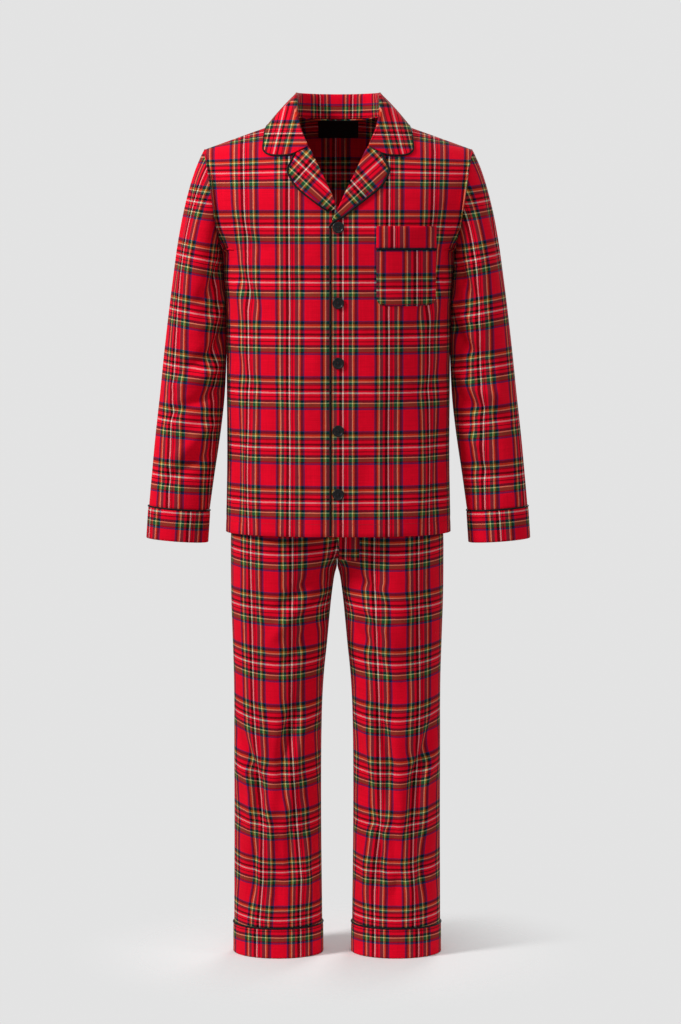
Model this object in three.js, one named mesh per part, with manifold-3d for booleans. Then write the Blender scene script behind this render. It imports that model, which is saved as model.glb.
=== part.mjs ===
// Pyjama set: a long-sleeved top and long trousers in checked flannel, filled out with no wearer.
// Millimetres, +Z up, +X to the viewer's right, the front faces -Y.
// The origin is the middle of the neck base, level with the neck ends of the shoulder seams.
// Left and right are the viewer's.

import * as THREE from 'three';
import { mergeVertices } from 'three/addons/utils/BufferGeometryUtils.js';
import Module from 'manifold-3d';

const wasm = await Module();
wasm.setup();

// Cloth and seams
const CLOTH = 2; // wall of a panel
const SEAM_GAP = 0.3; // between two panels at a seam, and under a piece that lies on a panel
const SHARP_VALLEY = 0.35; // seams that fold inwards more than this aren't mitred
const APPLIED_CLOTH = 1.6; // wall of a pocket, band, fly or lapel
const LABEL_CLOTH = 0.8;
const PIPING_RADIUS = 1.3;
const PIPING_SIDES = 6;
const PIPING_RISE = 0.8; // the piping in a ring seam is this share of its radius above the seam
const OUTLINE_REACH = 200; // depth of the block that cuts a piece to its outline
const KEY_STEP = 0.01; // panels share a point where theirs agree to this
const MERGE_DISTANCE = 1e-4; // points of a solid that are nearer than this are one point

// Top
const HEM_Z = -723;
const UNDERARM_Z = -238;
const NECK_HALF = 75; // half the width between the neck ends of the shoulder seams
const SHOULDER_FALL = 0.36; // drop of the shoulder seam for each millimetre outwards
const SHOULDER_HALF = 234; // middle to the tip of the shoulder
const BACK_NECK_DROP = 3;
const FRONT_ROUNDING = 150; // height over which the chest rounds into the shoulder seam
const BACK_ROUNDING = 100;
const BODY_SQUARENESS = 2.4; // 2 would be an ellipse
const BODY_ROWS = 8; // hem to underarm
const ARMHOLE_ROWS = 8; // underarm to shoulder tip
const FRONT_COLUMNS = 9;
const EDGE_COLUMN = 32; // width of the first mesh column beside the front edge
const NEXT_COLUMN = 22;
const COLUMN_CROWDING = 0.92; // how strongly the columns crowd towards the side seam
const NECK_COLUMNS = 3; // half the back neck
const LAP = 12; // the right front reaches this far past the middle
const UNDERLAP = 14; // the left front goes under it by this much past the middle
const TUCK = CLOTH + 0.8; // how far the left front is set in under the right one
const TUCK_START = 40; // from the middle, where the left front begins to go in
const TUCK_WIDTH = 22;
const TUCK_EASE = 0.8; // what lies where the front goes in is lifted by this much

// Half width and depth of the body by height; above the underarm the width is that of the
// curve which the armhole cuts
const bodyTable = [
  { z: 20, half: 300, front: 112, back: 108 },
  { z: -60, half: 296, front: 116, back: 112 },
  { z: -81, half: 286, front: 118, back: 113 },
  { z: -120, half: 260, front: 122, back: 114 },
  { z: -173, half: 240, front: 125, back: 115 },
  { z: -205, half: 218.5, front: 126, back: 115 },
  { z: -225, half: 206.4, front: 126, back: 114 },
  { z: UNDERARM_Z, half: 203, front: 126, back: 113 },
  { z: -330, half: 195.5, front: 125, back: 110 },
  { z: -450, half: 194.3, front: 122, back: 108 },
  { z: -600, half: 194.3, front: 120, back: 110 },
  { z: HEM_Z, half: 197, front: 121, back: 114 },
];

// Distance of the armhole seam from the middle
const armholeTable = [
  { z: -57, x: 234 },
  { z: -81, x: 228 },
  { z: -120, x: 221 },
  { z: -173, x: 214 },
  { z: -205, x: 208 },
  { z: -225, x: 204.6 },
  { z: UNDERARM_Z, x: 203 },
];

// Inner edge of a front, measured from the middle towards its own side: neck seam, then the
// line on which the lapel turns, down to the first button
const rollTable = [
  { z: 0, x: 75 },
  { z: -9, x: 74 },
  { z: -22, x: 69 },
  { z: -38, x: 60.5 },
  { z: -54, x: 52.5 },
  { z: -67, x: 45.5 },
  { z: -112, x: 23.6 },
  { z: -161, x: 1 },
];
const BREAK_Z = -161; // where the turning line meets the middle
const LAP_Z = -182; // where it meets the front edge

// Sleeves: rings under the cap, outer and inner distance from the middle, half depth, and the
// middle of the ring front to back
const sleeveTable = [
  { z: -262, outer: 286.4, inner: 204, deep: 74, mid: 0 },
  { z: -322, outer: 294.5, inner: 199.5, deep: 72, mid: -1 },
  { z: -406, outer: 304.5, inner: 199, deep: 66, mid: -4 },
  { z: -490, outer: 313, inner: 201, deep: 60, mid: -8 },
  { z: -560, outer: 320.5, inner: 208, deep: 54, mid: -12 },
  { z: -620, outer: 326, inner: 217, deep: 48, mid: -15 },
  { z: -682, outer: 331.5, inner: 225.5, deep: 42, mid: -18 },
];
const SLEEVE_ROWS = 11; // below the cap
const CAP_ROWS = 5;
const CAP_OUT = 80; // how strongly the cap leaves the shoulder seam outwards
const CAP_DOWN = 0.73; // how strongly it leaves the seam downwards, as a share of its height
const CAP_DRIFT = 0.12; // how far it still runs outwards where it ends, as a share of its height
const SLEEVE_TILT = 0.073; // a cuff is this much higher outside, for each millimetre across
const CUFF_Z = -682;
const CUFF_LENGTH = 54;
const CUFF_DRIFT = 3.6; // the end of a cuff is this much further out than its seam
const CUFF_SPREAD = 1.4; // the cuff stands this much outside the sleeve

// Trousers
const TROUSERS_MID = -2; // they hang this far to the left of the top
const WAIST_Z = -490;
const WAISTBAND = 36;
const CROTCH_Z = -784;
const SEAT_START_Z = -680; // the centre seam begins to curve under here
const HEM_SEAM_Z = -1419;
const TROUSER_END_Z = -1470;
const HEM_SPREAD = 1.4;
const LEG_HALF_COLUMNS = 5;
const BACK_FORK = 1.08; // the back's centre seam curves in later than the front's, which has 1
const NO_DEPTH = 1e-6; // a smaller share of the depth is on the seam itself

// Leg panels: outer and inner distance from the middle of the trousers, half depth before and
// behind the side seam, and where the front is fullest
const legTable = [
  { z: WAIST_Z, outer: 163, inner: 0, front: 84, back: 84, full: 80 },
  { z: -560, outer: 172, inner: 0, front: 87, back: 87, full: 84 },
  { z: -640, outer: 181, inner: 0, front: 90, back: 90, full: 88 },
  { z: -723, outer: 186.5, inner: 0, front: 92, back: 92, full: 92 },
  { z: CROTCH_Z, outer: 187, inner: 0.2, front: 92, back: 94, full: 94 },
  { z: -800, outer: 187, inner: 4.4, front: 91, back: 94, full: 95 },
  { z: -845, outer: 186.4, inner: 10.5, front: 88, back: 91, full: 98 },
  { z: -919, outer: 184, inner: 17.5, front: 82, back: 84, full: 101 },
  { z: -992, outer: 182, inner: 24.5, front: 78, back: 78, full: 103 },
  { z: -1090, outer: 181, inner: 28, front: 74, back: 73, full: 104 },
  { z: -1240, outer: 180.3, inner: 28.9, front: 71, back: 70, full: 104 },
  { z: -1400, outer: 180.3, inner: 27.6, front: 70, back: 68, full: 104 },
  { z: -1470, outer: 180.3, inner: 27, front: 70, back: 68, full: 104 },
];
const legLevels = [
  WAIST_Z - WAISTBAND, -575, -625, SEAT_START_Z, -712, -742, -765, CROTCH_Z, -800, -822, -850,
  -885, -925, -970, -1020, -1070, -1120, -1170, -1220, -1270, -1320, -1370, HEM_SEAM_Z,
];

// Largest folds: across and up are the place on the panel, lean is how far the fold runs
// outwards over its length, deep is positive for a ridge
const FOLD_ACROSS_FALL = 2; // how fast a fold flattens across
const FOLD_ALONG_FALL = 1.4; // and towards its ends
const legFolds = [
  { across: 62, up: -800, wide: 26, long: 110, lean: 34, deep: -5 },
  { across: 84, up: -860, wide: 24, long: 120, lean: -30, deep: 4 },
  { across: 120, up: -985, wide: 26, long: 120, lean: 26, deep: -5 },
  { across: 84, up: -1060, wide: 24, long: 150, lean: -20, deep: -6 },
  { across: 112, up: -1090, wide: 24, long: 160, lean: -16, deep: 5 },
  { across: 136, up: -1150, wide: 26, long: 170, lean: -22, deep: -6 },
  { across: 78, up: -1230, wide: 22, long: 150, lean: 24, deep: 4 },
  { across: 104, up: -1290, wide: 24, long: 140, lean: 18, deep: -5 },
];
const sleeveFolds = [
  { across: 226, up: -330, wide: 20, long: 90, lean: 26, deep: -4 },
  { across: 250, up: -450, wide: 22, long: 90, lean: 30, deep: -5 },
  { across: 270, up: -500, wide: 20, long: 90, lean: -26, deep: 4 },
  { across: 262, up: -590, wide: 22, long: 80, lean: 30, deep: -4 },
];
const bodyFolds = [
  { across: 176, up: -250, wide: 22, long: 110, lean: 26, deep: -4 },
  { across: 150, up: -330, wide: 26, long: 120, lean: 22, deep: 3 },
  { across: 168, up: -640, wide: 30, long: 150, lean: -12, deep: -4 },
  { across: 128, up: -660, wide: 30, long: 140, lean: -8, deep: 4 },
];

// Pieces on the fronts
const POCKET_LEFT = 66;
const POCKET_RIGHT = 168;
const POCKET_TOP = -190.5;
const POCKET_BOTTOM = -326;
const POCKET_CORNER = 17;
const POCKET_SEAM = -229; // middle of the piping between band and pocket
const DOUBLED_CLOTH = 0.6; // a pocket band and the waistband are thicker by this much
const CORNER_SEGMENTS = 5;
const BUTTON_RADIUS = 10;
const BUTTON_THICK = 3.4;
const BUTTON_RIM = 2.4;
const BUTTON_DISH = 0.9;
const BUTTON_BEVEL = 1;
const BUTTON_SIDES = 16;
const buttonLevels = [-192, -321, -424, -540.5, -650];
const LABEL_HALF = 35;
const LABEL_TOP = -5;
const LABEL_BOTTOM = -34;
const FLY_LEFT = 2;
const FLY_RIGHT = 36;
const FLY_TOP = -560;
const FLY_BOTTOM = -768;

// Outline of a lapel below the collar, from its own side of the middle
const lapelEdge = [
  { x: 72.3, z: -66 },
  { x: 80.5, z: -83 },
  { x: 84.4, z: -90 },
  { x: 85, z: -97 },
  { x: 81, z: -106 },
  { x: 68.3, z: -124.4 },
  { x: 32.9, z: -152.4 },
];
const GORGE = { x: 52.5, z: -54.6 };
const lapelInside = [{ x: 0, z: -120 }, { x: 30, z: -50 }]; // beyond the edge it is turned from
const lapelTipRight = [{ x: 8.7, z: -171.6 }, { x: -9.3, z: -181 }, { x: -16, z: -184 }, { x: -30, z: -160 }];
const lapelTipLeft = [{ x: 14, z: -164 }, { x: 6, z: -159 }, { x: 3, z: -150 }];

// Piping from the lapels' tips on: the left one ends there, the right one runs down the front edge
const PIPING_END_LEFT = { x: 18, z: -162 };
const TURN_X = -10; // where the right one turns down
const TURN_Z = -184;
const EDGE_START_Z = -192; // from here it runs straight down
const EDGE_STEPS = 9;
const POCKET_STEPS = 6; // of the piping on the pocket

// Collar: neck seam, fold and free edge at stations from the middle of the back to the notch
const COLLAR_CLOTH = 2;
const FOLD_HALF = 3.2; // half the thickness of the turned fold
const collarTable = [
  { seam: [0, 60, -1.6], fold: [0, 65, 40], edge: [0, 99, -34] },
  { seam: [30, 56, -1], fold: [32, 61, 40.2], edge: [48, 97, -33] },
  { seam: [58, 38, 0], fold: [60, 42, 40.8], edge: [96, 80, -29] },
  { seam: [71, 18, 1.4], fold: [70.5, 22, 41.2], edge: [116, 42, -18] },
  { seam: [75, -4, 1.6], fold: [73, 0, 41.2], edge: [121.5, 2, -13] },
  { seam: [75, -36, -5], fold: [74.5, -27, 29], edge: [125.5, -38.5, -25] },
  { seam: [71, -60, -18], fold: [73.5, -53, 6], edge: [126.8, -60, -41] },
  { seam: [64.5, -77, -32], fold: [68.5, -74, -17], edge: [126.3, -74.5, -56.5] },
  { seam: [58, -89, -43], fold: [61, -88, -35], edge: [118.5, -84, -64.5] },
  { seam: [54.5, -96, -50], fold: [55.5, -96, -46], edge: [96.5, -92, -66.3] },
  { seam: [53.5, -98, -53], fold: [53, -99, -52.5], edge: [72.8, -96, -61.2] },
];
const COLLAR_LIFT = 3.4; // the fall stays this far outside the fronts and back
const NECK_SEAM_LIFT = 2.8; // and the neck seam this far
const STAND_FULL = 12; // the fold has its whole thickness where the stand is this high
const STAND_LEAST = 0.08; // least share of that thickness, at the notch
const STAND_MIDDLE = 0.55; // where the stand's middle row of points lies, from seam to fold
const CROWN_RISE = 0.2; // the top of the fold is this much above the table's point
const FALL_ROUNDING = 2; // the fall bows out by this much between fold and edge
const fallShares = [0.3, 0.6, 0.85, 1]; // rows of points on the fall

const clothRed = new THREE.MeshStandardMaterial({ color: 0xb0152c, roughness: 0.92, metalness: 0 });
const pipingBlack = new THREE.MeshStandardMaterial({ color: 0x141416, roughness: 0.55, metalness: 0 });
const buttonBlack = new THREE.MeshStandardMaterial({ color: 0x2a2b2e, roughness: 0.35, metalness: 0 });
const labelBlack = new THREE.MeshStandardMaterial({ color: 0x101012, roughness: 0.7, metalness: 0 });

const pyjamaSet = new THREE.Group();

function addMesh(name, geometry, material) {
  const mesh = new THREE.Mesh(geometry, material.clone());
  mesh.name = name;
  pyjamaSet.add(mesh);
  return mesh;
}

// Tables

// Smooth value of every column of a table at one height or station
function tableAt(table, key, value) {
  const rising = table[table.length - 1][key] > table[0][key];
  const rows = rising ? table : [...table].reverse();
  const last = rows.length - 1;
  const at = THREE.MathUtils.clamp(value, rows[0][key], rows[last][key]);
  let i = 0;
  while (i < last - 1 && at > rows[i + 1][key]) i += 1;
  const step = rows[i + 1][key] - rows[i][key];
  const t = (at - rows[i][key]) / step;
  const found = {};
  for (const column of Object.keys(rows[0])) {
    const slope = (n) => {
      const a = rows[Math.max(0, n - 1)];
      const b = rows[Math.min(last, n + 1)];
      return (b[column] - a[column]) / (b[key] - a[key]);
    };
    found[column] = hermite(rows[i][column], slope(i) * step, rows[i + 1][column], slope(i + 1) * step, t);
  }
  return found;
}

function hermite(a, slopeA, b, slopeB, t) {
  const s = t * t * (3 - 2 * t);
  return a * (1 - s) + b * s + slopeA * t * (1 - t) * (1 - t) - slopeB * t * t * (1 - t);
}

// How far the folds of a table move the cloth out at one place
function foldRise(folds, across, up) {
  let rise = 0;
  for (const fold of folds) {
    const along = (up - fold.up) / (fold.long / 2);
    const aside = (across - fold.across - (fold.lean * along) / 2) / fold.wide;
    const flattened = aside * aside * FOLD_ACROSS_FALL + along * along * FOLD_ALONG_FALL;
    rise += fold.deep * Math.exp(-flattened);
  }
  return rise;
}

// Form of the body

function shoulderLine(x) {
  const out = Math.abs(x);
  if (out > NECK_HALF) return -SHOULDER_FALL * (out - NECK_HALF);
  return ((SHOULDER_FALL * NECK_HALF) / 2) * (1 - (out / NECK_HALF) ** 2);
}

// Distance of the cloth before or behind the plane of the shoulder seams
function bodyDepth(x, z, side) {
  const row = tableAt(bodyTable, 'z', z);
  const rounding = side === 'front' ? FRONT_ROUNDING : BACK_ROUNDING;
  const flat = Math.sqrt(Math.max(0, 1 - Math.abs(x / row.half) ** BODY_SQUARENESS));
  const below = THREE.MathUtils.clamp((shoulderLine(x) - z) / rounding, 0, 1);
  const folded = foldRise(bodyFolds, Math.abs(x), z) * flat;
  return (row[side] * flat + folded) * Math.sqrt(1 - (1 - below) ** 2);
}

// Mesh column i of a row between two edges: two by the inner edge, the rest closer together
// towards the side seam
function columnX(i, inX, outX) {
  const first = [inX, inX + EDGE_COLUMN, inX + EDGE_COLUMN + NEXT_COLUMN];
  if (i < first.length) return first[i];
  const share = (i - 2) / (FRONT_COLUMNS - 2);
  return THREE.MathUtils.lerp(first[2], outX, Math.sin((share * Math.PI) / 2) ** COLUMN_CROWDING);
}

// Heights of the rows of a front or back at its side and armhole edge
function bodyLevels() {
  const levels = [];
  for (let i = 0; i < BODY_ROWS; i += 1) {
    levels.push(THREE.MathUtils.lerp(HEM_Z, UNDERARM_Z, i / BODY_ROWS));
  }
  const tip = shoulderLine(SHOULDER_HALF);
  for (let i = 0; i <= ARMHOLE_ROWS; i += 1) {
    const middle = (tip + UNDERARM_Z) / 2;
    levels.push(middle - ((tip - UNDERARM_Z) / 2) * Math.cos((Math.PI * i) / ARMHOLE_ROWS));
  }
  return levels;
}

function outerEdge(z) {
  return z > UNDERARM_Z ? tableAt(armholeTable, 'z', z).x : tableAt(bodyTable, 'z', z).half;
}

function frontEdge(z, reach) {
  if (z >= BREAK_Z) return tableAt(rollTable, 'z', z).x;
  const start = tableAt(rollTable, 'z', BREAK_Z).x;
  return THREE.MathUtils.mapLinear(Math.max(z, LAP_Z), BREAK_Z, LAP_Z, start, -reach);
}

// How far the left front is set in at a distance from the middle on its own side
function tuckAt(x) {
  return TUCK * THREE.MathUtils.smoothstep(-x, -TUCK_START, TUCK_WIDTH - TUCK_START);
}

// Right front: side 1, on top. Left front: side -1, set in under it near the middle.
function frontGrid(side) {
  const reach = side > 0 ? LAP : UNDERLAP;
  return bodyLevels().map((outZ, row) => {
    const climb = Math.max(0, row - BODY_ROWS) / ARMHOLE_ROWS;
    const inZ = row > BODY_ROWS ? UNDERARM_Z * (1 - climb) : outZ;
    const inX = frontEdge(inZ, reach);
    const outX = outerEdge(outZ);
    const points = [];
    for (let i = 0; i <= FRONT_COLUMNS; i += 1) {
      const x = columnX(i, inX, outX);
      const atShoulder = row === BODY_ROWS + ARMHOLE_ROWS;
      const z = atShoulder ? shoulderLine(x) : THREE.MathUtils.mapLinear(x, inX, outX, inZ, outZ);
      const onSeam = atShoulder || (i === FRONT_COLUMNS && row <= BODY_ROWS);
      const deep = onSeam ? 0 : bodyDepth(x, z, 'front') - (side > 0 ? 0 : tuckAt(x));
      points.push(new THREE.Vector3(side * x, -deep, z));
    }
    return points;
  });
}

// From the right side seam to the left one
function backGrid() {
  return bodyLevels().map((outZ, row) => {
    const climb = Math.max(0, row - BODY_ROWS) / ARMHOLE_ROWS;
    const outX = outerEdge(outZ);
    const half = [];
    for (let i = 0; i <= NECK_COLUMNS + FRONT_COLUMNS; i += 1) {
      const x = i < NECK_COLUMNS
        ? (NECK_HALF * i) / NECK_COLUMNS
        : columnX(i - NECK_COLUMNS, NECK_HALF, outX);
      const top = x > NECK_HALF ? shoulderLine(x) : -BACK_NECK_DROP * (1 - (x / NECK_HALF) ** 2);
      const z = outZ + (top - shoulderLine(SHOULDER_HALF)) * climb;
      const last = i === NECK_COLUMNS + FRONT_COLUMNS;
      const atShoulder = row === BODY_ROWS + ARMHOLE_ROWS && i >= NECK_COLUMNS;
      const onSeam = atShoulder || (last && row <= BODY_ROWS);
      const height = last && !atShoulder ? outZ : z;
      half.push(new THREE.Vector3(x, onSeam ? 0 : bodyDepth(x, height, 'back'), height));
    }
    const left = half.slice(1).map((p) => new THREE.Vector3(-p.x, p.y, p.z));
    return [...half].reverse().concat(left);
  });
}

// Ring of a sleeve below the cap: starts at the seam under the arm and goes round by the front
function sleeveRing(z, spread, count) {
  const row = tableAt(sleeveTable, 'z', z);
  const middle = (row.outer + row.inner) / 2;
  const wide = (row.outer - row.inner) / 2 + spread;
  const drop = THREE.MathUtils.smoothstep(-z, -sleeveTable[0].z, -CUFF_Z);
  const ring = [];
  for (let i = 0; i < count; i += 1) {
    const turn = (2 * Math.PI * i) / count;
    const x = middle - wide * Math.cos(turn);
    const y = row.mid - (row.deep + spread) * Math.sin(turn);
    const rise = foldRise(sleeveFolds, x, z) * Math.abs(Math.sin(turn));
    const point = new THREE.Vector3(x, y - rise * Math.sign(Math.sin(turn)), z);
    point.z += SLEEVE_TILT * (x - middle) * drop;
    ring.push(point);
  }
  return ring;
}

// Sleeve on the right: its first ring is the armhole, the cap leaves it outwards and turns down
function sleeveGrid(front, back) {
  const rise = front.slice(BODY_ROWS).map((row) => row[FRONT_COLUMNS]);
  const fall = back.slice(BODY_ROWS).map((row) => row[0]).reverse();
  const armhole = rise.concat(fall.slice(1, -1));
  const count = armhole.length;
  const start = sleeveTable[0].z;
  const first = sleeveRing(start, 0, count);
  const grid = [armhole.map((p) => p.clone())];
  for (let row = 1; row < CAP_ROWS; row += 1) {
    const t = row / CAP_ROWS;
    grid.push(armhole.map((a, i) => {
      const b = first[i];
      const high = (1 - Math.cos((2 * Math.PI * i) / count)) / 2;
      const fallen = a.z - b.z;
      return new THREE.Vector3(
        hermite(a.x, CAP_OUT * high, b.x, CAP_DRIFT * fallen, t),
        hermite(a.y, 0, b.y, 0, t),
        hermite(a.z, -CAP_DOWN * fallen, b.z, -fallen, t),
      );
    }));
  }
  for (let row = 0; row <= SLEEVE_ROWS; row += 1) {
    grid.push(sleeveRing(THREE.MathUtils.lerp(start, CUFF_Z, row / SLEEVE_ROWS), 0, count));
  }
  return grid;
}

function cuffGrid(sleeve) {
  const ring = sleeve[sleeve.length - 1];
  const drop = new THREE.Vector3(CUFF_DRIFT, 0, -CUFF_LENGTH);
  const middle = ring.reduce((sum, p) => sum.add(p), new THREE.Vector3()).divideScalar(ring.length);
  const wider = (p, share) => {
    const out = p.clone().sub(middle).setLength(CUFF_SPREAD);
    return p.clone().add(out).addScaledVector(drop, share);
  };
  return [0, 0.5, 1].map((share) => ring.map((p) => wider(p, share)));
}

// Leg panels of the right leg; the left leg is their mirror image about the trousers' middle
function legPoint(u, z, side, spread) {
  const row = tableAt(legTable, 'z', z);
  const fork = side === 'front' ? 1 : BACK_FORK;
  const under = THREE.MathUtils.clamp((SEAT_START_Z - z) / (SEAT_START_Z - CROTCH_Z), 0, 1);
  const seam = Math.sqrt(Math.max(0, 1 - under ** (2 * fork)));
  const inner = z > CROTCH_Z ? 0 : row.inner - spread;
  let x;
  let share;
  if (u < 0) {
    const turn = (1 + u) * (Math.PI / 2);
    x = THREE.MathUtils.lerp(inner, row.full, 1 - Math.cos(turn));
    share = Math.sqrt(Math.max(0, 1 - (1 - seam * seam) * Math.cos(turn) ** 2));
  } else {
    const turn = u * (Math.PI / 2);
    x = THREE.MathUtils.lerp(row.full, row.outer + spread, Math.sin(turn));
    share = Math.cos(turn);
  }
  if (Math.abs(u) === 1 && share < NO_DEPTH) share = 0;
  const deep = (row[side] + spread + foldRise(legFolds, x, z)) * share;
  return new THREE.Vector3(x, side === 'front' ? -deep : deep, z);
}

function legGrid(side) {
  return legLevels.map((z) => {
    const points = [];
    for (let i = -LEG_HALF_COLUMNS; i <= LEG_HALF_COLUMNS; i += 1) {
      points.push(legPoint(i / LEG_HALF_COLUMNS, z, side, 0));
    }
    return points;
  });
}

// Whole ring round one leg: inseam, front, side seam, back
function legRing(z, spread) {
  const ring = [];
  const steps = LEG_HALF_COLUMNS;
  for (let i = -steps; i < steps; i += 1) ring.push(legPoint(i / steps, z, 'front', spread));
  for (let i = steps; i > -steps; i -= 1) ring.push(legPoint(i / steps, z, 'back', spread));
  return ring;
}

function waistRing(z) {
  const right = [];
  const steps = LEG_HALF_COLUMNS;
  for (let i = -steps; i <= steps; i += 1) right.push(legPoint(i / steps, z, 'front', 0));
  for (let i = steps - 1; i >= -steps; i -= 1) right.push(legPoint(i / steps, z, 'back', 0));
  const left = [...right].reverse().slice(1, -1).map((p) => new THREE.Vector3(-p.x, p.y, p.z));
  return right.concat(left);
}

function mirrorGrid(grid) {
  return grid.map((row) => row.map((p) => new THREE.Vector3(-p.x, p.y, p.z)));
}

// Sewing: panels that share a seam share its points, so their walls meet there in a mitre

function pointKey(p) {
  return [p.x, p.y, p.z].map((v) => Math.round(v / KEY_STEP) + 0).join(' ');
}

function eachCell(panel, visit) {
  const { grid, ring } = panel;
  for (let r = 0; r < grid.length - 1; r += 1) {
    const count = ring ? grid[r].length : grid[r].length - 1;
    for (let c = 0; c < count; c += 1) {
      const d = (c + 1) % grid[r].length;
      visit([r, c], [r, d], [r + 1, d], [r + 1, c]);
    }
  }
}

function addNormal(book, p, normal) {
  const key = pointKey(p);
  if (!book.has(key)) book.set(key, new THREE.Vector3());
  book.get(key).add(normal);
}

// Gives every panel its normals and draws its seams back by half the gap
function sew(panels) {
  const whole = new Map();
  const groups = new Map();
  for (const panel of panels) {
    if (!groups.has(panel.group)) groups.set(panel.group, new Map());
    const own = groups.get(panel.group);
    eachCell(panel, (a, b, c, d) => {
      const corner = [a, b, c, d].map(([r, k]) => panel.grid[r][k]);
      const across = corner[2].clone().sub(corner[0]);
      const normal = across.cross(corner[3].clone().sub(corner[1])).normalize();
      if (panel.flip) normal.negate();
      for (const p of corner) {
        addNormal(whole, p, normal);
        addNormal(own, p, normal);
      }
    });
  }
  for (const panel of panels) {
    const own = groups.get(panel.group);
    panel.normals = panel.grid.map((row) => row.map((p) => own.get(pointKey(p)).clone().normalize()));
    panel.points = panel.grid.map((row) => row.map((p) => p.clone()));
    const rows = panel.grid.length - 1;
    const columns = panel.grid[0].length - 1;
    const edges = { bottom: [0, 1], top: [0, -1], start: [1, 0], end: [-1, 0] };
    for (const name of panel.seams) {
      const [stepC, stepR] = edges[name];
      const along = stepC === 0 ? columns : rows;
      for (let i = 0; i <= along; i += 1) {
        const r = name === 'top' ? rows : name === 'bottom' ? 0 : i;
        const c = name === 'end' ? columns : name === 'start' ? 0 : i;
        drawBack(panel, whole, own, r, c, r + stepR, c + stepC, stepC === 0);
      }
    }
  }
}

function drawBack(panel, whole, own, r, c, inR, inC, alongRow) {
  const { grid } = panel;
  const p = grid[r][c];
  const width = grid[r].length;
  const inwards = grid[inR][inC].clone().sub(p).normalize();
  const shared = whole.get(pointKey(p)).clone().normalize();
  const alone = own.get(pointKey(p)).clone().normalize();
  const valley = shared.dot(inwards) > SHARP_VALLEY;
  const normal = valley ? alone : shared;
  let before;
  let after;
  if (alongRow) {
    before = panel.ring ? grid[r][(c + width - 1) % width] : grid[r][Math.max(0, c - 1)];
    after = panel.ring ? grid[r][(c + 1) % width] : grid[r][Math.min(width - 1, c + 1)];
  } else {
    before = grid[Math.max(0, r - 1)][c];
    after = grid[Math.min(grid.length - 1, r + 1)][c];
  }
  const aside = after.clone().sub(before).cross(normal).normalize();
  if (aside.dot(inwards) < 0) aside.negate();
  panel.points[r][c].addScaledVector(aside, SEAM_GAP / 2);
  if (valley) panel.points[r][c].addScaledVector(alone, -SEAM_GAP / 2);
  panel.normals[r][c] = normal;
}

// Closed body between two offsets of a sewn panel, both measured outwards
function wallGeometry(panel, low, high) {
  const positions = [];
  const outer = [];
  const inner = [];
  const push = (p, n, distance) => {
    positions.push(p.x + n.x * distance, p.y + n.y * distance, p.z + n.z * distance);
    return positions.length / 3 - 1;
  };
  panel.points.forEach((row, r) => {
    outer.push(row.map((p, c) => push(p, panel.normals[r][c], high)));
    inner.push(row.map((p, c) => push(p, panel.normals[r][c], low)));
  });
  const faces = [];
  const quad = (a, b, c, d) => {
    if (panel.flip) faces.push(a, c, b, a, d, c);
    else faces.push(a, b, c, a, c, d);
  };
  eachCell(panel, ([r, c], [, d]) => {
    quad(outer[r][c], outer[r][d], outer[r + 1][d], outer[r + 1][c]);
    const [a, b, e, f] = [inner[r][c], inner[r][d], inner[r + 1][d], inner[r + 1][c]];
    if (panel.flip) faces.push(a, b, e, a, e, f);
    else faces.push(a, e, b, a, f, e);
  });
  // Across the wall's edge; both panels of a seam split it from the same corner
  const rim = ([r, c], [n, d]) => {
    const p = panel.grid[r][c];
    const q = panel.grid[n][d];
    const pHigher = (q.z - p.z || q.x - p.x || q.y - p.y) < 0;
    if (pHigher) quad(outer[r][c], outer[n][d], inner[n][d], inner[r][c]);
    else quad(outer[n][d], inner[n][d], inner[r][c], outer[r][c]);
  };
  const rows = panel.grid.length - 1;
  const width = panel.grid[0].length;
  for (let c = 0; c < (panel.ring ? width : width - 1); c += 1) {
    const d = (c + 1) % width;
    rim([0, d], [0, c]);
    rim([rows, c], [rows, d]);
  }
  if (!panel.ring) {
    for (let r = 0; r < rows; r += 1) {
      rim([r, 0], [r + 1, 0]);
      rim([r + 1, width - 1], [r, width - 1]);
    }
  }
  const geometry = new THREE.BufferGeometry();
  geometry.setAttribute('position', new THREE.Float32BufferAttribute(positions, 3));
  geometry.setIndex(faces);
  return geometry;
}

// Solids that are cut to an outline

function toSolid(geometry) {
  const bare = geometry.clone();
  bare.deleteAttribute('normal');
  bare.deleteAttribute('uv');
  const merged = mergeVertices(bare, MERGE_DISTANCE);
  return new wasm.Manifold(new wasm.Mesh({
    numProp: 3,
    vertProperties: new Float32Array(merged.attributes.position.array),
    triVerts: new Uint32Array(merged.index.array),
  }));
}

function toGeometry(solid) {
  const mesh = solid.getMesh();
  const geometry = new THREE.BufferGeometry();
  geometry.setAttribute('position', new THREE.Float32BufferAttribute(mesh.vertProperties, 3));
  geometry.setIndex(new THREE.Uint32BufferAttribute(mesh.triVerts, 1));
  return geometry;
}

// Straight block with the outline of a shape in X and Z, reaching forward or back from the middle
function outlineBlock(shape, forward) {
  const options = { depth: OUTLINE_REACH, bevelEnabled: false, curveSegments: CORNER_SEGMENTS };
  const block = new THREE.ExtrudeGeometry(shape, options);
  block.rotateX(Math.PI / 2);
  if (!forward) block.translate(0, OUTLINE_REACH, 0);
  return toSolid(block);
}

function outlineShape(points, side = 1) {
  return new THREE.Shape(points.map((p) => new THREE.Vector2(side * p.x, p.z)));
}

// Piece that lies on a panel: the panel's own points moved out, cut to the outline
function appliedGeometry(panel, shape, low, high, forward = true) {
  const layer = toSolid(wallGeometry(panel, low, high));
  return toGeometry(layer.intersect(outlineBlock(shape, forward)));
}

// Piping

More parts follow.
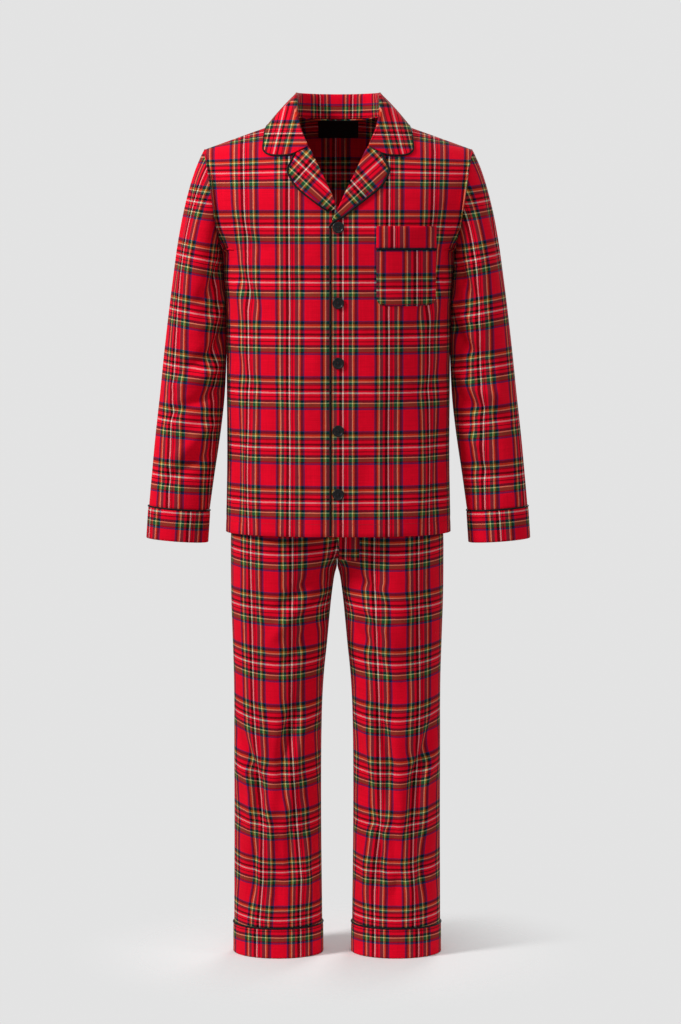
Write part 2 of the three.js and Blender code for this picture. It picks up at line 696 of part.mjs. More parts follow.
function roundSection(radius, sides) {
  const shape = new THREE.Shape();
  for (let i = 0; i < sides; i += 1) {
    const turn = (2 * Math.PI * i) / sides;
    const x = radius * Math.cos(turn);
    const y = radius * Math.sin(turn);
    if (i === 0) shape.moveTo(x, y);
    else shape.lineTo(x, y);
  }
  shape.closePath();
  return shape;
}

// Smooth curve that is stepped exactly at its own points
class PointRun extends THREE.CatmullRomCurve3 {
  getUtoTmapping(u) {
    return u;
  }
}

function pipingGeometry(points) {
  const section = roundSection(PIPING_RADIUS, PIPING_SIDES);
  const extrudePath = new PointRun(points, false, 'centripetal');
  return new THREE.ExtrudeGeometry(section, { steps: points.length - 1, bevelEnabled: false, extrudePath });
}

// Closed loop of piping round a ring of points, standing outside them
function loopGeometry(ring, flip) {
  const count = ring.length;
  const middle = ring.reduce((sum, p) => sum.add(p), new THREE.Vector3()).divideScalar(count);
  const positions = [];
  const faces = [];
  ring.forEach((p) => {
    const out = p.clone().sub(middle).setZ(0).normalize();
    for (let k = 0; k < PIPING_SIDES; k += 1) {
      const turn = (2 * Math.PI * k) / PIPING_SIDES;
      const point = p.clone().addScaledVector(out, PIPING_RADIUS * Math.cos(turn));
      positions.push(point.x, point.y, point.z + PIPING_RADIUS * Math.sin(turn));
    }
  });
  for (let i = 0; i < count; i += 1) {
    const next = (i + 1) % count;
    for (let k = 0; k < PIPING_SIDES; k += 1) {
      const up = (k + 1) % PIPING_SIDES;
      const corner = [i, next, next, i].map((n, m) => n * PIPING_SIDES + (m < 2 ? k : up));
      const [a, b, c, d] = flip ? [corner[1], corner[0], corner[3], corner[2]] : corner;
      faces.push(a, b, c, a, c, d);
    }
  }
  const geometry = new THREE.BufferGeometry();
  geometry.setAttribute('position', new THREE.Float32BufferAttribute(positions, 3));
  geometry.setIndex(faces);
  return geometry;
}

function spreadRing(ring, distance, lift = 0) {
  const middle = ring.reduce((sum, p) => sum.add(p), new THREE.Vector3()).divideScalar(ring.length);
  return ring.map((p) => {
    const out = p.clone().sub(middle).setZ(0).setLength(distance);
    return p.clone().add(out).add(new THREE.Vector3(0, 0, lift));
  });
}

// Top: panels
const frontRight = { grid: frontGrid(1), group: 'body', flip: false, seams: ['end', 'top'] };
const frontLeft = { grid: frontGrid(-1), group: 'body', flip: true, seams: ['end', 'top'] };
const back = { grid: backGrid(), group: 'body', flip: false, seams: ['start', 'end', 'top'] };
const sleeveRight = {
  grid: sleeveGrid(frontRight.grid, back.grid),
  group: 'sleeve right',
  flip: true,
  ring: true,
  seams: ['bottom'],
};
const sleeveLeft = {
  grid: mirrorGrid(sleeveRight.grid),
  group: 'sleeve left',
  flip: false,
  ring: true,
  seams: ['bottom'],
};
sew([frontRight, frontLeft, back, sleeveRight, sleeveLeft]);
addMesh('front_right', wallGeometry(frontRight, -CLOTH, 0), clothRed);
addMesh('front_left', wallGeometry(frontLeft, -CLOTH, 0), clothRed);
addMesh('back', wallGeometry(back, -CLOTH, 0), clothRed);
addMesh('sleeve_right', wallGeometry(sleeveRight, -CLOTH, 0), clothRed);
addMesh('sleeve_left', wallGeometry(sleeveLeft, -CLOTH, 0), clothRed);

// Top: cuffs start just under the sleeve's last ring, with piping in the seam
for (const [name, side] of [['right', 1], ['left', -1]]) {
  const ringGrid = cuffGrid(sleeveRight.grid).map((ring) => {
    return ring.map((p) => new THREE.Vector3(side * p.x, p.y, p.z - SEAM_GAP));
  });
  const cuff = { grid: ringGrid, group: 'cuff', flip: side > 0, ring: true, seams: [] };
  sew([cuff]);
  addMesh(`cuff_${name}`, wallGeometry(cuff, -CLOTH, 0), clothRed);
  const seam = spreadRing(ringGrid[0], SEAM_GAP + PIPING_RADIUS, PIPING_RADIUS * PIPING_RISE);
  addMesh(`cuff_piping_${name}`, loopGeometry(seam, side < 0), pipingBlack);
}

// Top: collar, one folded wall from the neck seam over the fold to the free edge

// Moves a point straight out from the shoulder until it is clear of the body
function clearOfBody(p, lift) {
  const side = p.y < 0 ? 'front' : 'back';
  const rounding = side === 'front' ? FRONT_ROUNDING : BACK_ROUNDING;
  const row = tableAt(bodyTable, 'z', p.z);
  const flat = Math.sqrt(Math.max(0, 1 - Math.abs(p.x / row.half) ** BODY_SQUARENESS));
  const level = shoulderLine(p.x) - rounding;
  const high = (p.z - level) / rounding;
  const wide = p.y / (row[side] * flat);
  const size = Math.hypot(high, wide);
  const wanted = 1 + lift / (rounding * Math.abs(high / size) + row[side] * Math.abs(wide / size));
  if (size >= wanted) return p;
  const grow = wanted / size;
  return new THREE.Vector3(p.x, p.y * grow, level + (p.z - level) * grow);
}

function collarColumn(row, side) {
  const seam = new THREE.Vector3(...row.seam);
  const fold = new THREE.Vector3(...row.fold);
  const edge = new THREE.Vector3(...row.edge);
  const out = edge.clone().sub(fold);
  out.z = 0;
  out.normalize();
  const upright = THREE.MathUtils.clamp((fold.z - seam.z) / STAND_FULL, STAND_LEAST, 1);
  const half = FOLD_HALF * upright;
  const points = [];
  const inside = fold.clone().addScaledVector(out, -half);
  inside.z -= half;
  points.push(seam.clone());
  points.push(seam.clone().lerp(inside, STAND_MIDDLE));
  points.push(inside);
  const crown = fold.clone();
  crown.z += CROWN_RISE;
  points.push(crown);
  const outside = fold.clone().addScaledVector(out, half);
  outside.z -= half;
  points.push(outside);
  for (const share of fallShares) {
    const p = outside.clone().lerp(edge, share);
    p.z += FALL_ROUNDING * Math.sin(Math.PI * share) * upright;
    points.push(p);
  }
  return points.map((p, i) => {
    const onStand = i < 2 && upright === 1;
    const cleared = onStand ? p : clearOfBody(p, i === 0 ? NECK_SEAM_LIFT : COLLAR_LIFT);
    return new THREE.Vector3(side * cleared.x, cleared.y, cleared.z);
  });
}

const leftHalf = collarTable.slice(1).reverse().map((row) => collarColumn(row, -1));
const collarColumns = leftHalf.concat(collarTable.map((row) => collarColumn(row, 1)));
const collar = { grid: collarColumns, group: 'collar', flip: false, seams: [] };
sew([collar]);
addMesh('collar', wallGeometry(collar, -COLLAR_CLOTH / 2, COLLAR_CLOTH / 2), clothRed);

// Collar piping runs just outside the free edge
const collarEdge = collarColumns.map((column, i) => {
  const edge = column[column.length - 1];
  const before = collarColumns[Math.max(0, i - 1)][column.length - 1];
  const after = collarColumns[Math.min(collarColumns.length - 1, i + 1)][column.length - 1];
  const along = after.clone().sub(before).normalize();
  const out = edge.clone().sub(column[column.length - 2]);
  out.addScaledVector(along, -out.dot(along));
  return edge.clone().add(out.setLength(2 * SEAM_GAP + PIPING_RADIUS));
});
const notchLeft = collarEdge[0];
const notchRight = collarEdge[collarEdge.length - 1];
notchLeft.x -= PIPING_RADIUS;
notchRight.x += PIPING_RADIUS;
addMesh('collar_piping', pipingGeometry(collarEdge), pipingBlack);

// Top: lapels lie on the fronts below the collar
const appliedLow = SEAM_GAP;
const appliedHigh = SEAM_GAP + APPLIED_CLOTH;
const lapelOutline = (tip) => [GORGE, ...lapelEdge, ...tip, ...lapelInside];
addMesh(
  'lapel_right',
  appliedGeometry(frontRight, outlineShape(lapelOutline(lapelTipRight)), appliedLow, appliedHigh),
  clothRed,
);
addMesh(
  'lapel_left',
  appliedGeometry(frontLeft, outlineShape(lapelOutline(lapelTipLeft), -1), appliedLow, appliedHigh),
  clothRed,
);

// Piping just outside a lapel's edge, on the front under it
function onFront(x, z, lift, side) {
  const tuck = side > 0 ? 0 : tuckAt(x);
  return new THREE.Vector3(side * x, -bodyDepth(x, z, 'front') + tuck - lift, z);
}

function besideOutline(points, distance) {
  return points.map((p, i) => {
    const a = points[Math.max(0, i - 1)];
    const b = points[Math.min(points.length - 1, i + 1)];
    const along = new THREE.Vector2(b.x - a.x, b.z - a.z).normalize();
    return { x: p.x - along.y * distance, z: p.z + along.x * distance };
  });
}

const pipingLift = SEAM_GAP * 2 + PIPING_RADIUS;
const besideEdge = SEAM_GAP + PIPING_RADIUS;
const edgeRight = besideOutline([...lapelEdge, lapelTipRight[0]], besideEdge)
  .map((p) => onFront(p.x, p.z, pipingLift, 1));
const frontEdgeX = -LAP - SEAM_GAP * 2 - PIPING_RADIUS;
edgeRight.push(onFront(TURN_X, TURN_Z, PIPING_RADIUS, 1));
edgeRight.push(onFront(frontEdgeX, EDGE_START_Z, SEAM_GAP, 1));
for (let i = 1; i <= EDGE_STEPS; i += 1) {
  const z = THREE.MathUtils.lerp(EDGE_START_Z, HEM_Z + 1, i / EDGE_STEPS);
  edgeRight.push(onFront(frontEdgeX, z, -SEAM_GAP, 1));
}
addMesh('lapel_piping_right', pipingGeometry(edgeRight), pipingBlack);
const edgeLeft = besideOutline([...lapelEdge, PIPING_END_LEFT], besideEdge)
  .map((p) => onFront(p.x, p.z, pipingLift + (p.x < EDGE_COLUMN ? TUCK_EASE : 0), -1));
addMesh('lapel_piping_left', pipingGeometry(edgeLeft), pipingBlack);

// Top: chest pocket on the right front, with its piped band
function pocketOutline() {
  const shape = new THREE.Shape();
  const seam = POCKET_SEAM - PIPING_RADIUS - SEAM_GAP;
  shape.moveTo(POCKET_LEFT, seam);
  shape.lineTo(POCKET_LEFT, POCKET_BOTTOM + POCKET_CORNER);
  shape.quadraticCurveTo(POCKET_LEFT, POCKET_BOTTOM, POCKET_LEFT + POCKET_CORNER, POCKET_BOTTOM);
  shape.lineTo(POCKET_RIGHT - POCKET_CORNER, POCKET_BOTTOM);
  shape.quadraticCurveTo(POCKET_RIGHT, POCKET_BOTTOM, POCKET_RIGHT, POCKET_BOTTOM + POCKET_CORNER);
  shape.lineTo(POCKET_RIGHT, seam);
  return shape;
}

function rectangle(left, right, bottom, top) {
  return outlineShape([
    { x: left, z: bottom },
    { x: right, z: bottom },
    { x: right, z: top },
    { x: left, z: top },
  ]);
}

const bandBottom = POCKET_SEAM + PIPING_RADIUS + SEAM_GAP;
addMesh('pocket', appliedGeometry(frontRight, pocketOutline(), appliedLow, appliedHigh), clothRed);
addMesh(
  'pocket_band',
  appliedGeometry(
    frontRight,
    rectangle(POCKET_LEFT, POCKET_RIGHT, bandBottom, POCKET_TOP),
    appliedLow,
    appliedHigh + DOUBLED_CLOTH,
  ),
  clothRed,
);
const pocketSeam = [];
for (let i = 0; i <= POCKET_STEPS; i += 1) {
  const x = THREE.MathUtils.lerp(POCKET_LEFT + SEAM_GAP, POCKET_RIGHT - SEAM_GAP, i / POCKET_STEPS);
  pocketSeam.push(onFront(x, POCKET_SEAM, pipingLift, 1));
}
addMesh('pocket_piping', pipingGeometry(pocketSeam), pipingBlack);

// Top: buttons, dished discs with a raised rim
const buttonTop = BUTTON_THICK - BUTTON_DISH;
const buttonProfile = [
  [0, 0],
  [BUTTON_RADIUS - BUTTON_BEVEL, 0],
  [BUTTON_RADIUS, BUTTON_BEVEL],
  [BUTTON_RADIUS, BUTTON_THICK - BUTTON_BEVEL],
  [BUTTON_RADIUS - BUTTON_BEVEL, BUTTON_THICK],
  [BUTTON_RADIUS - BUTTON_RIM, BUTTON_THICK],
  [BUTTON_RADIUS - BUTTON_RIM - BUTTON_BEVEL, buttonTop],
  [0, buttonTop],
  [0, 0],
].map(([r, h]) => new THREE.Vector2(r, h));
buttonLevels.forEach((z, i) => {
  const disc = new THREE.LatheGeometry(buttonProfile, BUTTON_SIDES);
  const button = addMesh(`button_${i + 1}`, disc, buttonBlack);
  button.rotation.x = Math.PI;
  button.position.copy(onFront(0, z, 2 * SEAM_GAP, 1));
});

// Top: plain label inside the back neck
addMesh(
  'neck_label',
  appliedGeometry(
    back,
    rectangle(-LABEL_HALF, LABEL_HALF, LABEL_BOTTOM, LABEL_TOP),
    -CLOTH - SEAM_GAP - LABEL_CLOTH,
    -CLOTH - SEAM_GAP,
    false,
  ),
  labelBlack,
);

// Trousers
const shift = (grid) => grid.map((row) => row.map((p) => p.setX(p.x + TROUSERS_MID)));
const legPanels = {
  leg_front_right: { grid: shift(legGrid('front')), group: 'leg right', flip: true },
  leg_back_right: { grid: shift(legGrid('back')), group: 'leg right', flip: false },
  leg_front_left: { grid: shift(mirrorGrid(legGrid('front'))), group: 'leg left', flip: false },
  leg_back_left: { grid: shift(mirrorGrid(legGrid('back'))), group: 'leg left', flip: true },
};
for (const panel of Object.values(legPanels)) panel.seams = ['start', 'end'];
sew(Object.values(legPanels));
for (const [name, panel] of Object.entries(legPanels)) {
  addMesh(name, wallGeometry(panel, -CLOTH, 0), clothRed);
}

const waistTop = WAIST_Z;
const waistBottom = WAIST_Z - WAISTBAND + SEAM_GAP;
const waistband = {
  grid: shift([waistBottom, (waistBottom + waistTop) / 2, waistTop].map((z) => waistRing(z))),
  group: 'waistband', flip: false, ring: true, seams: [],
};
sew([waistband]);
addMesh('waistband', wallGeometry(waistband, -CLOTH, DOUBLED_CLOTH), clothRed);

// The mock fly lies on the right leg's front beside the centre seam
addMesh(
  'fly',
  appliedGeometry(
    legPanels.leg_front_right,
    rectangle(FLY_LEFT, FLY_RIGHT, FLY_BOTTOM, FLY_TOP),
    appliedLow,
    appliedHigh,
  ),
  clothRed,
);

for (const [name, side] of [['right', 1], ['left', -1]]) {
  const levels = [HEM_SEAM_Z - SEAM_GAP, (HEM_SEAM_Z + TROUSER_END_Z) / 2, TROUSER_END_Z];
  const ringGrid = levels.map((z) => {
    return legRing(z, HEM_SPREAD).map((p) => new THREE.Vector3(side * p.x + TROUSERS_MID, p.y, p.z));
  });
  const hem = { grid: ringGrid, group: 'hem', flip: side > 0, ring: true, seams: [] };
  sew([hem]);
  addMesh(`hem_${name}`, wallGeometry(hem, -CLOTH, 0), clothRed);
  const seam = spreadRing(ringGrid[0], SEAM_GAP + PIPING_RADIUS, PIPING_RADIUS * PIPING_RISE);
  addMesh(`hem_piping_${name}`, loopGeometry(seam, side < 0), pipingBlack);
}

export default pyjamaSet;
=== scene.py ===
import bmesh
import bpy
import math
import numpy as np
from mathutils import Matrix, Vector
from mathutils.bvhtree import BVHTree


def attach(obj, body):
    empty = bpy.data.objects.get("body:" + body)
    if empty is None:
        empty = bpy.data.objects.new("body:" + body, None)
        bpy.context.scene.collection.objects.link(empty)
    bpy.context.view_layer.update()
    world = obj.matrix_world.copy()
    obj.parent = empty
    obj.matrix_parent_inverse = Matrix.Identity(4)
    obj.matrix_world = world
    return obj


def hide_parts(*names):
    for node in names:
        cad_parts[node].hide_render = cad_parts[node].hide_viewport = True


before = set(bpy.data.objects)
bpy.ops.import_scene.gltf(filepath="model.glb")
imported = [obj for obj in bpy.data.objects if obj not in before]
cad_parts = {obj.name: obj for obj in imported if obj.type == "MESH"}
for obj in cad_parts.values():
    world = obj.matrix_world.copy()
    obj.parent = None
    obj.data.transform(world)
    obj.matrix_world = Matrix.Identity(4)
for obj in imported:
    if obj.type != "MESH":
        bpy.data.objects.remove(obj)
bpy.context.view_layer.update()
scene = bpy.context.scene
mm = 0.001

# Forms are worked out in millimetres, with the sizes the solids have, and made in metres.
# Left and right are the viewer's; the front faces -Y.


# curves and tables
def lerp(a, b, t):
    return a + (b - a) * t


def clamp(value, low, high):
    return max(low, min(high, value))


def smooth(value, low, high):
    t = clamp((value - low) / (high - low), 0, 1)
    return t * t * (3 - 2 * t)


def hermite(a, slopeA, b, slopeB, t):
    s = t * t * (3 - 2 * t)
    return a * (1 - s) + b * s + slopeA * t * (1 - t) ** 2 - slopeB * t * t * (1 - t)


# row of a table, smoothly between its rows; its first column is the height or station
def tableAt(table, value):
    names, *rows = table
    if rows[0][0] > rows[-1][0]:
        rows = rows[::-1]
    last = len(rows) - 1
    at = clamp(value, rows[0][0], rows[last][0])
    i = 0
    while i < last - 1 and at > rows[i + 1][0]:
        i += 1
    step = rows[i + 1][0] - rows[i][0]

    def slope(n, c):
        a, b = rows[max(0, n - 1)], rows[min(last, n + 1)]
        return (b[c] - a[c]) / (b[0] - a[0]) * step

    t = (at - rows[i][0]) / step
    return {
        name: hermite(rows[i][c], slope(i, c), rows[i + 1][c], slope(i + 1, c), t)
        for c, name in enumerate(names)
    }


# large folds that the solids have too: across, up, wide, long, lean, deep
def foldRise(folds, across, up):
    rise = 0
    for place, height, wide, long, lean, deep in folds:
        along = (up - height) / (long / 2)
        aside = (across - place - lean * along / 2) / wide
        rise += deep * math.exp(-2 * aside * aside - 1.4 * along * along)
    return rise


# form of the body of the top
body = dict(
    hem=-723, underarm=-238, neckHalf=75, shoulderFall=0.36, shoulderHalf=234, backNeckDrop=3,
    frontRounding=150, backRounding=100, squareness=2.4, rows=8, armholeRows=8, columns=9,
    edgeColumn=32, nextColumn=22, neckColumns=3, crowding=0.92,
    lap=12, underlap=14, tuck=2.8, tuckStart=40, tuckWidth=22, breakZ=-161, lapZ=-182,
)
bodyTable = [
    ("z", "half", "front", "back"),
    (20, 300, 112, 108), (-60, 296, 116, 112), (-81, 286, 118, 113), (-120, 260, 122, 114),
    (-173, 240, 125, 115), (-205, 218.5, 126, 115), (-225, 206.4, 126, 114), (-238, 203, 126, 113),
    (-330, 196.6, 125, 110), (-450, 195.4, 122, 108), (-600, 195, 120, 110), (-723, 197.5, 121, 114),
]
armholeTable = [
    ("z", "x"), (-57, 234), (-81, 228), (-120, 221), (-173, 214), (-205, 208), (-225, 204.6), (-238, 203),
]
rollTable = [
    ("z", "x"), (0, 75), (-9, 74), (-22, 69), (-38, 60.5), (-54, 52.5), (-67, 45.5), (-112, 23.6),
    (-161, 1),
]
bodyFolds = [
    (176, -250, 22, 110, 26, -4), (150, -330, 26, 120, 22, 3),
    (168, -640, 30, 150, -12, -4), (128, -660, 30, 140, -8, 4),
]


def shoulderLine(x):
    out = abs(x)
    if out > body["neckHalf"]:
        return -body["shoulderFall"] * (out - body["neckHalf"])
    return body["shoulderFall"] * body["neckHalf"] / 2 * (1 - (out / body["neckHalf"]) ** 2)


def bodyDepth(x, z, side):
    row = tableAt(bodyTable, z)
    flat = math.sqrt(max(0, 1 - abs(x / row["half"]) ** body["squareness"]))
    below = clamp((shoulderLine(x) - z) / body[side + "Rounding"], 0, 1)
    return (row[side] * flat + foldRise(bodyFolds, abs(x), z) * flat) * math.sqrt(1 - (1 - below) ** 2)


def columnX(i, inX, outX):
    first = [inX, inX + body["edgeColumn"], inX + body["edgeColumn"] + body["nextColumn"]]
    if i < 3:
        return first[i]
    share = (i - 2) / (body["columns"] - 2)
    return lerp(first[2], outX, math.sin(share * math.pi / 2) ** body["crowding"])


# heights of the rows at the side and armhole edge
def bodyLevels():
    rows, holeRows, low = body["rows"], body["armholeRows"], body["underarm"]
    tip = shoulderLine(body["shoulderHalf"])
    side = [lerp(body["hem"], low, i / rows) for i in range(rows)]
    return side + [
        (tip + low) / 2 - (tip - low) / 2 * math.cos(math.pi * i / holeRows) for i in range(holeRows + 1)
    ]


def outerEdge(z):
    return tableAt(armholeTable, z)["x"] if z > body["underarm"] else tableAt(bodyTable, z)["half"]


def frontEdge(z, reach):
    if z >= body["breakZ"]:
        return tableAt(rollTable, z)["x"]
    t = (max(z, body["lapZ"]) - body["breakZ"]) / (body["lapZ"] - body["breakZ"])
    return lerp(tableAt(rollTable, body["breakZ"])["x"], -reach, t)


def tuckAt(x):
    return body["tuck"] * smooth(-x, -body["tuckStart"], body["tuckWidth"] - body["tuckStart"])


def frontGrid(side):
    reach = body["lap"] if side > 0 else body["underlap"]
    rows, last, columns = body["rows"], body["rows"] + body["armholeRows"], body["columns"]
    grid = []
    for row, outZ in enumerate(bodyLevels()):
        climb = max(0, row - rows) / body["armholeRows"]
        inZ = body["underarm"] * (1 - climb) if row > rows else outZ
        inX, outX = frontEdge(inZ, reach), outerEdge(outZ)
        points = []
        for i in range(columns + 1):
            x = columnX(i, inX, outX)
            z = shoulderLine(x) if row == last else lerp(inZ, outZ, (x - inX) / (outX - inX))
            onSeam = row == last or (i == columns and row <= rows)
            deep = 0 if onSeam else bodyDepth(x, z, "front") - (0 if side > 0 else tuckAt(x))
            points.append((side * x, -deep, z))
        grid.append(points)
    return np.array(grid)


def backGrid():
    rows, last = body["rows"], body["rows"] + body["armholeRows"]
    neck, columns = body["neckColumns"], body["neckColumns"] + body["columns"]
    grid = []
    for row, outZ in enumerate(bodyLevels()):
        climb = max(0, row - rows) / body["armholeRows"]
        half = []
        for i in range(columns + 1):
            x = body["neckHalf"] * i / neck
            if i >= neck:
                x = columnX(i - neck, body["neckHalf"], outerEdge(outZ))
            drop = -body["backNeckDrop"] * (1 - (x / body["neckHalf"]) ** 2)
            top = shoulderLine(x) if x > body["neckHalf"] else drop
            atShoulder = row == last and i >= neck
            z = outZ + (top - shoulderLine(body["shoulderHalf"])) * climb
            if i == columns and not atShoulder:
                z = outZ
            onSeam = atShoulder or (i == columns and row <= rows)
            half.append((x, 0 if onSeam else bodyDepth(x, z, "back"), z))
        grid.append(half[::-1] + [(-x, y, z) for x, y, z in half[1:]])
    return np.array(grid)


# form of the sleeves and cuffs
sleeve = dict(
    rows=11, capRows=5, capOut=80, capFall=0.73, capIn=0.12, tilt=0.073, cuffZ=-682,
    cuffLength=54, cuffSpread=1.4, cuffDrift=3.6,
)
sleeveTable = [
    ("z", "outer", "inner", "deep", "mid"),
    (-262, 286.4, 200.8, 74, 4), (-322, 294.5, 196.6, 72, 8), (-406, 304.5, 195.6, 66, 8),
    (-490, 313, 199.6, 60, 2), (-560, 320.5, 208, 54, -6), (-620, 326, 217, 48, -12),
    (-682, 331.5, 225.5, 42, -18),
]
sleeveFolds = [
    (226, -330, 20, 90, 26, -4), (250, -450, 22, 90, 30, -5), (270, -500, 20, 90, -26, 4),
    (262, -590, 22, 80, 30, -4),
]


def sleeveRing(z, spread, count):
    row = tableAt(sleeveTable, z)
    middle, wide = (row["outer"] + row["inner"]) / 2, (row["outer"] - row["inner"]) / 2 + spread
    drop = smooth(-z, -sleeveTable[1][0], -sleeve["cuffZ"])
    ring = []
    for i in range(count):
        turn = 2 * math.pi * i / count
        x = middle - wide * math.cos(turn)
        y = row["mid"] - (row["deep"] + spread) * math.sin(turn)
        y -= foldRise(sleeveFolds, x, z) * math.sin(turn)
        ring.append((x, y, z + sleeve["tilt"] * (x - middle) * drop))
    return ring


# right sleeve: its first ring is the armhole, the cap leaves it outwards and turns down
def sleeveGrid(front, back):
    rise = [tuple(row[-1]) for row in front[body["rows"]:]]
    fall = [tuple(row[0]) for row in back[body["rows"]:]][::-1]
    armhole = rise + fall[1:-1]
    count = len(armhole)
    start = sleeveTable[1][0]
    first = sleeveRing(start, 0, count)
    grid = [armhole]
    for row in range(1, sleeve["capRows"]):
        t = row / sleeve["capRows"]
        ring = []
        for i, (a, b) in enumerate(zip(armhole, first)):
            high = (1 - math.cos(2 * math.pi * i / count)) / 2
            fallen = a[2] - b[2]
            ring.append((
                hermite(a[0], sleeve["capOut"] * high, b[0], sleeve["capIn"] * fallen, t),
                hermite(a[1], 0, b[1], 0, t),
                hermite(a[2], -sleeve["capFall"] * fallen, b[2], -fallen, t),
            ))
        grid.append(ring)
    for row in range(sleeve["rows"] + 1):
        grid.append(sleeveRing(lerp(start, sleeve["cuffZ"], row / sleeve["rows"]), 0, count))
    return np.array(grid)


def cuffGrid(sleevePoints):
    ring = sleevePoints[-1]
    out = ring - ring.mean(0)
    out *= sleeve["cuffSpread"] / np.linalg.norm(out, axis=1)[:, None]
    drop = np.array((sleeve["cuffDrift"], 0, -sleeve["cuffLength"]))
    return np.array([ring + out + drop * share for share in (0, 0.5, 1)])


# form of the trousers
legs = dict(
    middle=-2, waist=-490, waistband=36, crotch=-784, seatStart=-680, hemSeam=-1419, end=-1470,
    hemSpread=1.4, halfColumns=5, backFork=1.08,
)
legTable = [
    ("z", "outer", "inner", "front", "back", "full"),
    (-490, 163, 0, 84, 84, 80), (-560, 172, 0, 87, 87, 84), (-640, 181, 0, 90, 90, 88),
    (-723, 186.5, 0, 92, 92, 92), (-784, 187, 0.2, 92, 94, 94), (-800, 187, 4.4, 91, 94, 95),
    (-845, 186.4, 10.5, 88, 91, 98), (-919, 184, 17.5, 82, 84, 101), (-992, 182, 24.5, 78, 78, 103),
    (-1090, 182, 27.6, 74, 73, 104), (-1240, 182, 28, 71, 70, 104), (-1400, 182.8, 26.4, 70, 68, 104),
    (-1470, 183, 25.8, 70, 68, 104),
]
legLevels = [
    -526, -575, -625, -680, -712, -742, -765, -784, -800, -822, -850, -885, -925, -970,
    -1020, -1070, -1120, -1170, -1220, -1270, -1320, -1370, -1419,
]
legFolds = [
    (62, -800, 26, 110, 34, -5), (84, -860, 24, 120, -30, 4), (120, -985, 26, 120, 26, -5),
    (84, -1060, 24, 150, -20, -6), (112, -1090, 24, 160, -16, 5), (136, -1150, 26, 170, -22, -6),
    (78, -1230, 22, 150, 24, 4), (104, -1290, 24, 140, 18, -5),
]


def legPoint(u, z, side, spread):
    row = tableAt(legTable, z)
    fork = 1 if side == "front" else legs["backFork"]
    under = clamp((legs["seatStart"] - z) / (legs["seatStart"] - legs["crotch"]), 0, 1)
    seam = math.sqrt(max(0, 1 - under ** (2 * fork)))
    inner = 0 if z > legs["crotch"] else row["inner"] - spread
    if u < 0:
        turn = (1 + u) * math.pi / 2
        x = lerp(inner, row["full"], 1 - math.cos(turn))
        share = math.sqrt(max(0, 1 - (1 - seam * seam) * math.cos(turn) ** 2))
    else:
        turn = u * math.pi / 2
        x = lerp(row["full"], row["outer"] + spread, math.sin(turn))
        share = math.cos(turn)
    deep = (row[side] + spread + foldRise(legFolds, x, z)) * share
    return (x, -deep if side == "front" else deep, z)


def legGrid(side):
    steps = legs["halfColumns"]
    turns = [i / steps for i in range(-steps, steps + 1)]
    return np.array([[legPoint(u, z, side, 0) for u in turns] for z in legLevels])


# inseam, front, side seam, back
def legRing(z, spread):
    steps = legs["halfColumns"]
    ring = [legPoint(i / steps, z, "front", spread) for i in range(-steps, steps)]
    return ring + [legPoint(i / steps, z, "back", spread) for i in range(steps, -steps, -1)]


def waistRing(z):
    steps = legs["halfColumns"]
    right = [legPoint(i / steps, z, "front", 0) for i in range(-steps, steps + 1)]
    right += [legPoint(i / steps, z, "back", 0) for i in range(steps - 1, -steps - 1, -1)]
    return right + [(-x, y, z) for x, y, z in right[::-1][1:-1]]


def mirror(grid):
    return grid * np.array((-1, 1, 1))


# set in along the trousers' own middle
def atTrousers(grid):
    return np.asarray(grid, float) + np.array((legs["middle"], 0, 0))


# form of the collar: neck seam, fold and free edge from the middle of the back to the notch
collar = dict(foldHalf=3.2, lift=3.4, seamLift=2.8, puff=2, upright=12, leastUpright=0.08)
collarTable = [
    ("at", "seamX", "seamY", "seamZ", "foldX", "foldY", "foldZ", "edgeX", "edgeY", "edgeZ"),
    (0, 0, 60, -1.6, 0, 65, 40, 0, 99, -34),
    (1, 30, 56, -1, 32, 61, 40.2, 48, 97, -33),
    (2, 58, 38, 0, 60, 42, 40.8, 96, 80, -29),
    (3, 71, 18, 1.4, 70.5, 22, 40.8, 116, 42, -18),
    (4, 75, -4, 1.6, 73, 0, 40, 121.5, 2, -13),
    (5, 75, -36, -5, 74.5, -27, 28.6, 125.5, -38.5, -25),
    (6, 71, -60, -18, 73.5, -53, 6, 127, -60, -41),
    (7, 64.5, -77, -32, 68.5, -74, -17, 127, -76, -58.5),
    (8, 58, -89, -43, 61, -88, -35, 115, -86, -66),
    (9, 54.5, -96, -50, 55.5, -96, -46, 88, -94, -66.8),
    (10, 53.5, -98, -53, 53, -99, -52.5, 73.4, -97, -63),
]


# moves a point straight out from the shoulder until it is clear of the body
def clearOfBody(p, lift):
    side = "front" if p[1] < 0 else "back"
    rounding = body[side + "Rounding"]
    row = tableAt(bodyTable, p[2])
    flat = math.sqrt(max(0, 1 - abs(p[0] / row["half"]) ** body["squareness"]))
    level = shoulderLine(p[0]) - rounding
    high, wide = (p[2] - level) / rounding, p[1] / (row[side] * flat)
    size = math.hypot(high, wide)
    wanted = 1 + lift / (rounding * abs(high / size) + row[side] * abs(wide / size))
    if size >= wanted:
        return p
    return np.array((p[0], p[1] * wanted / size, level + (p[2] - level) * wanted / size))


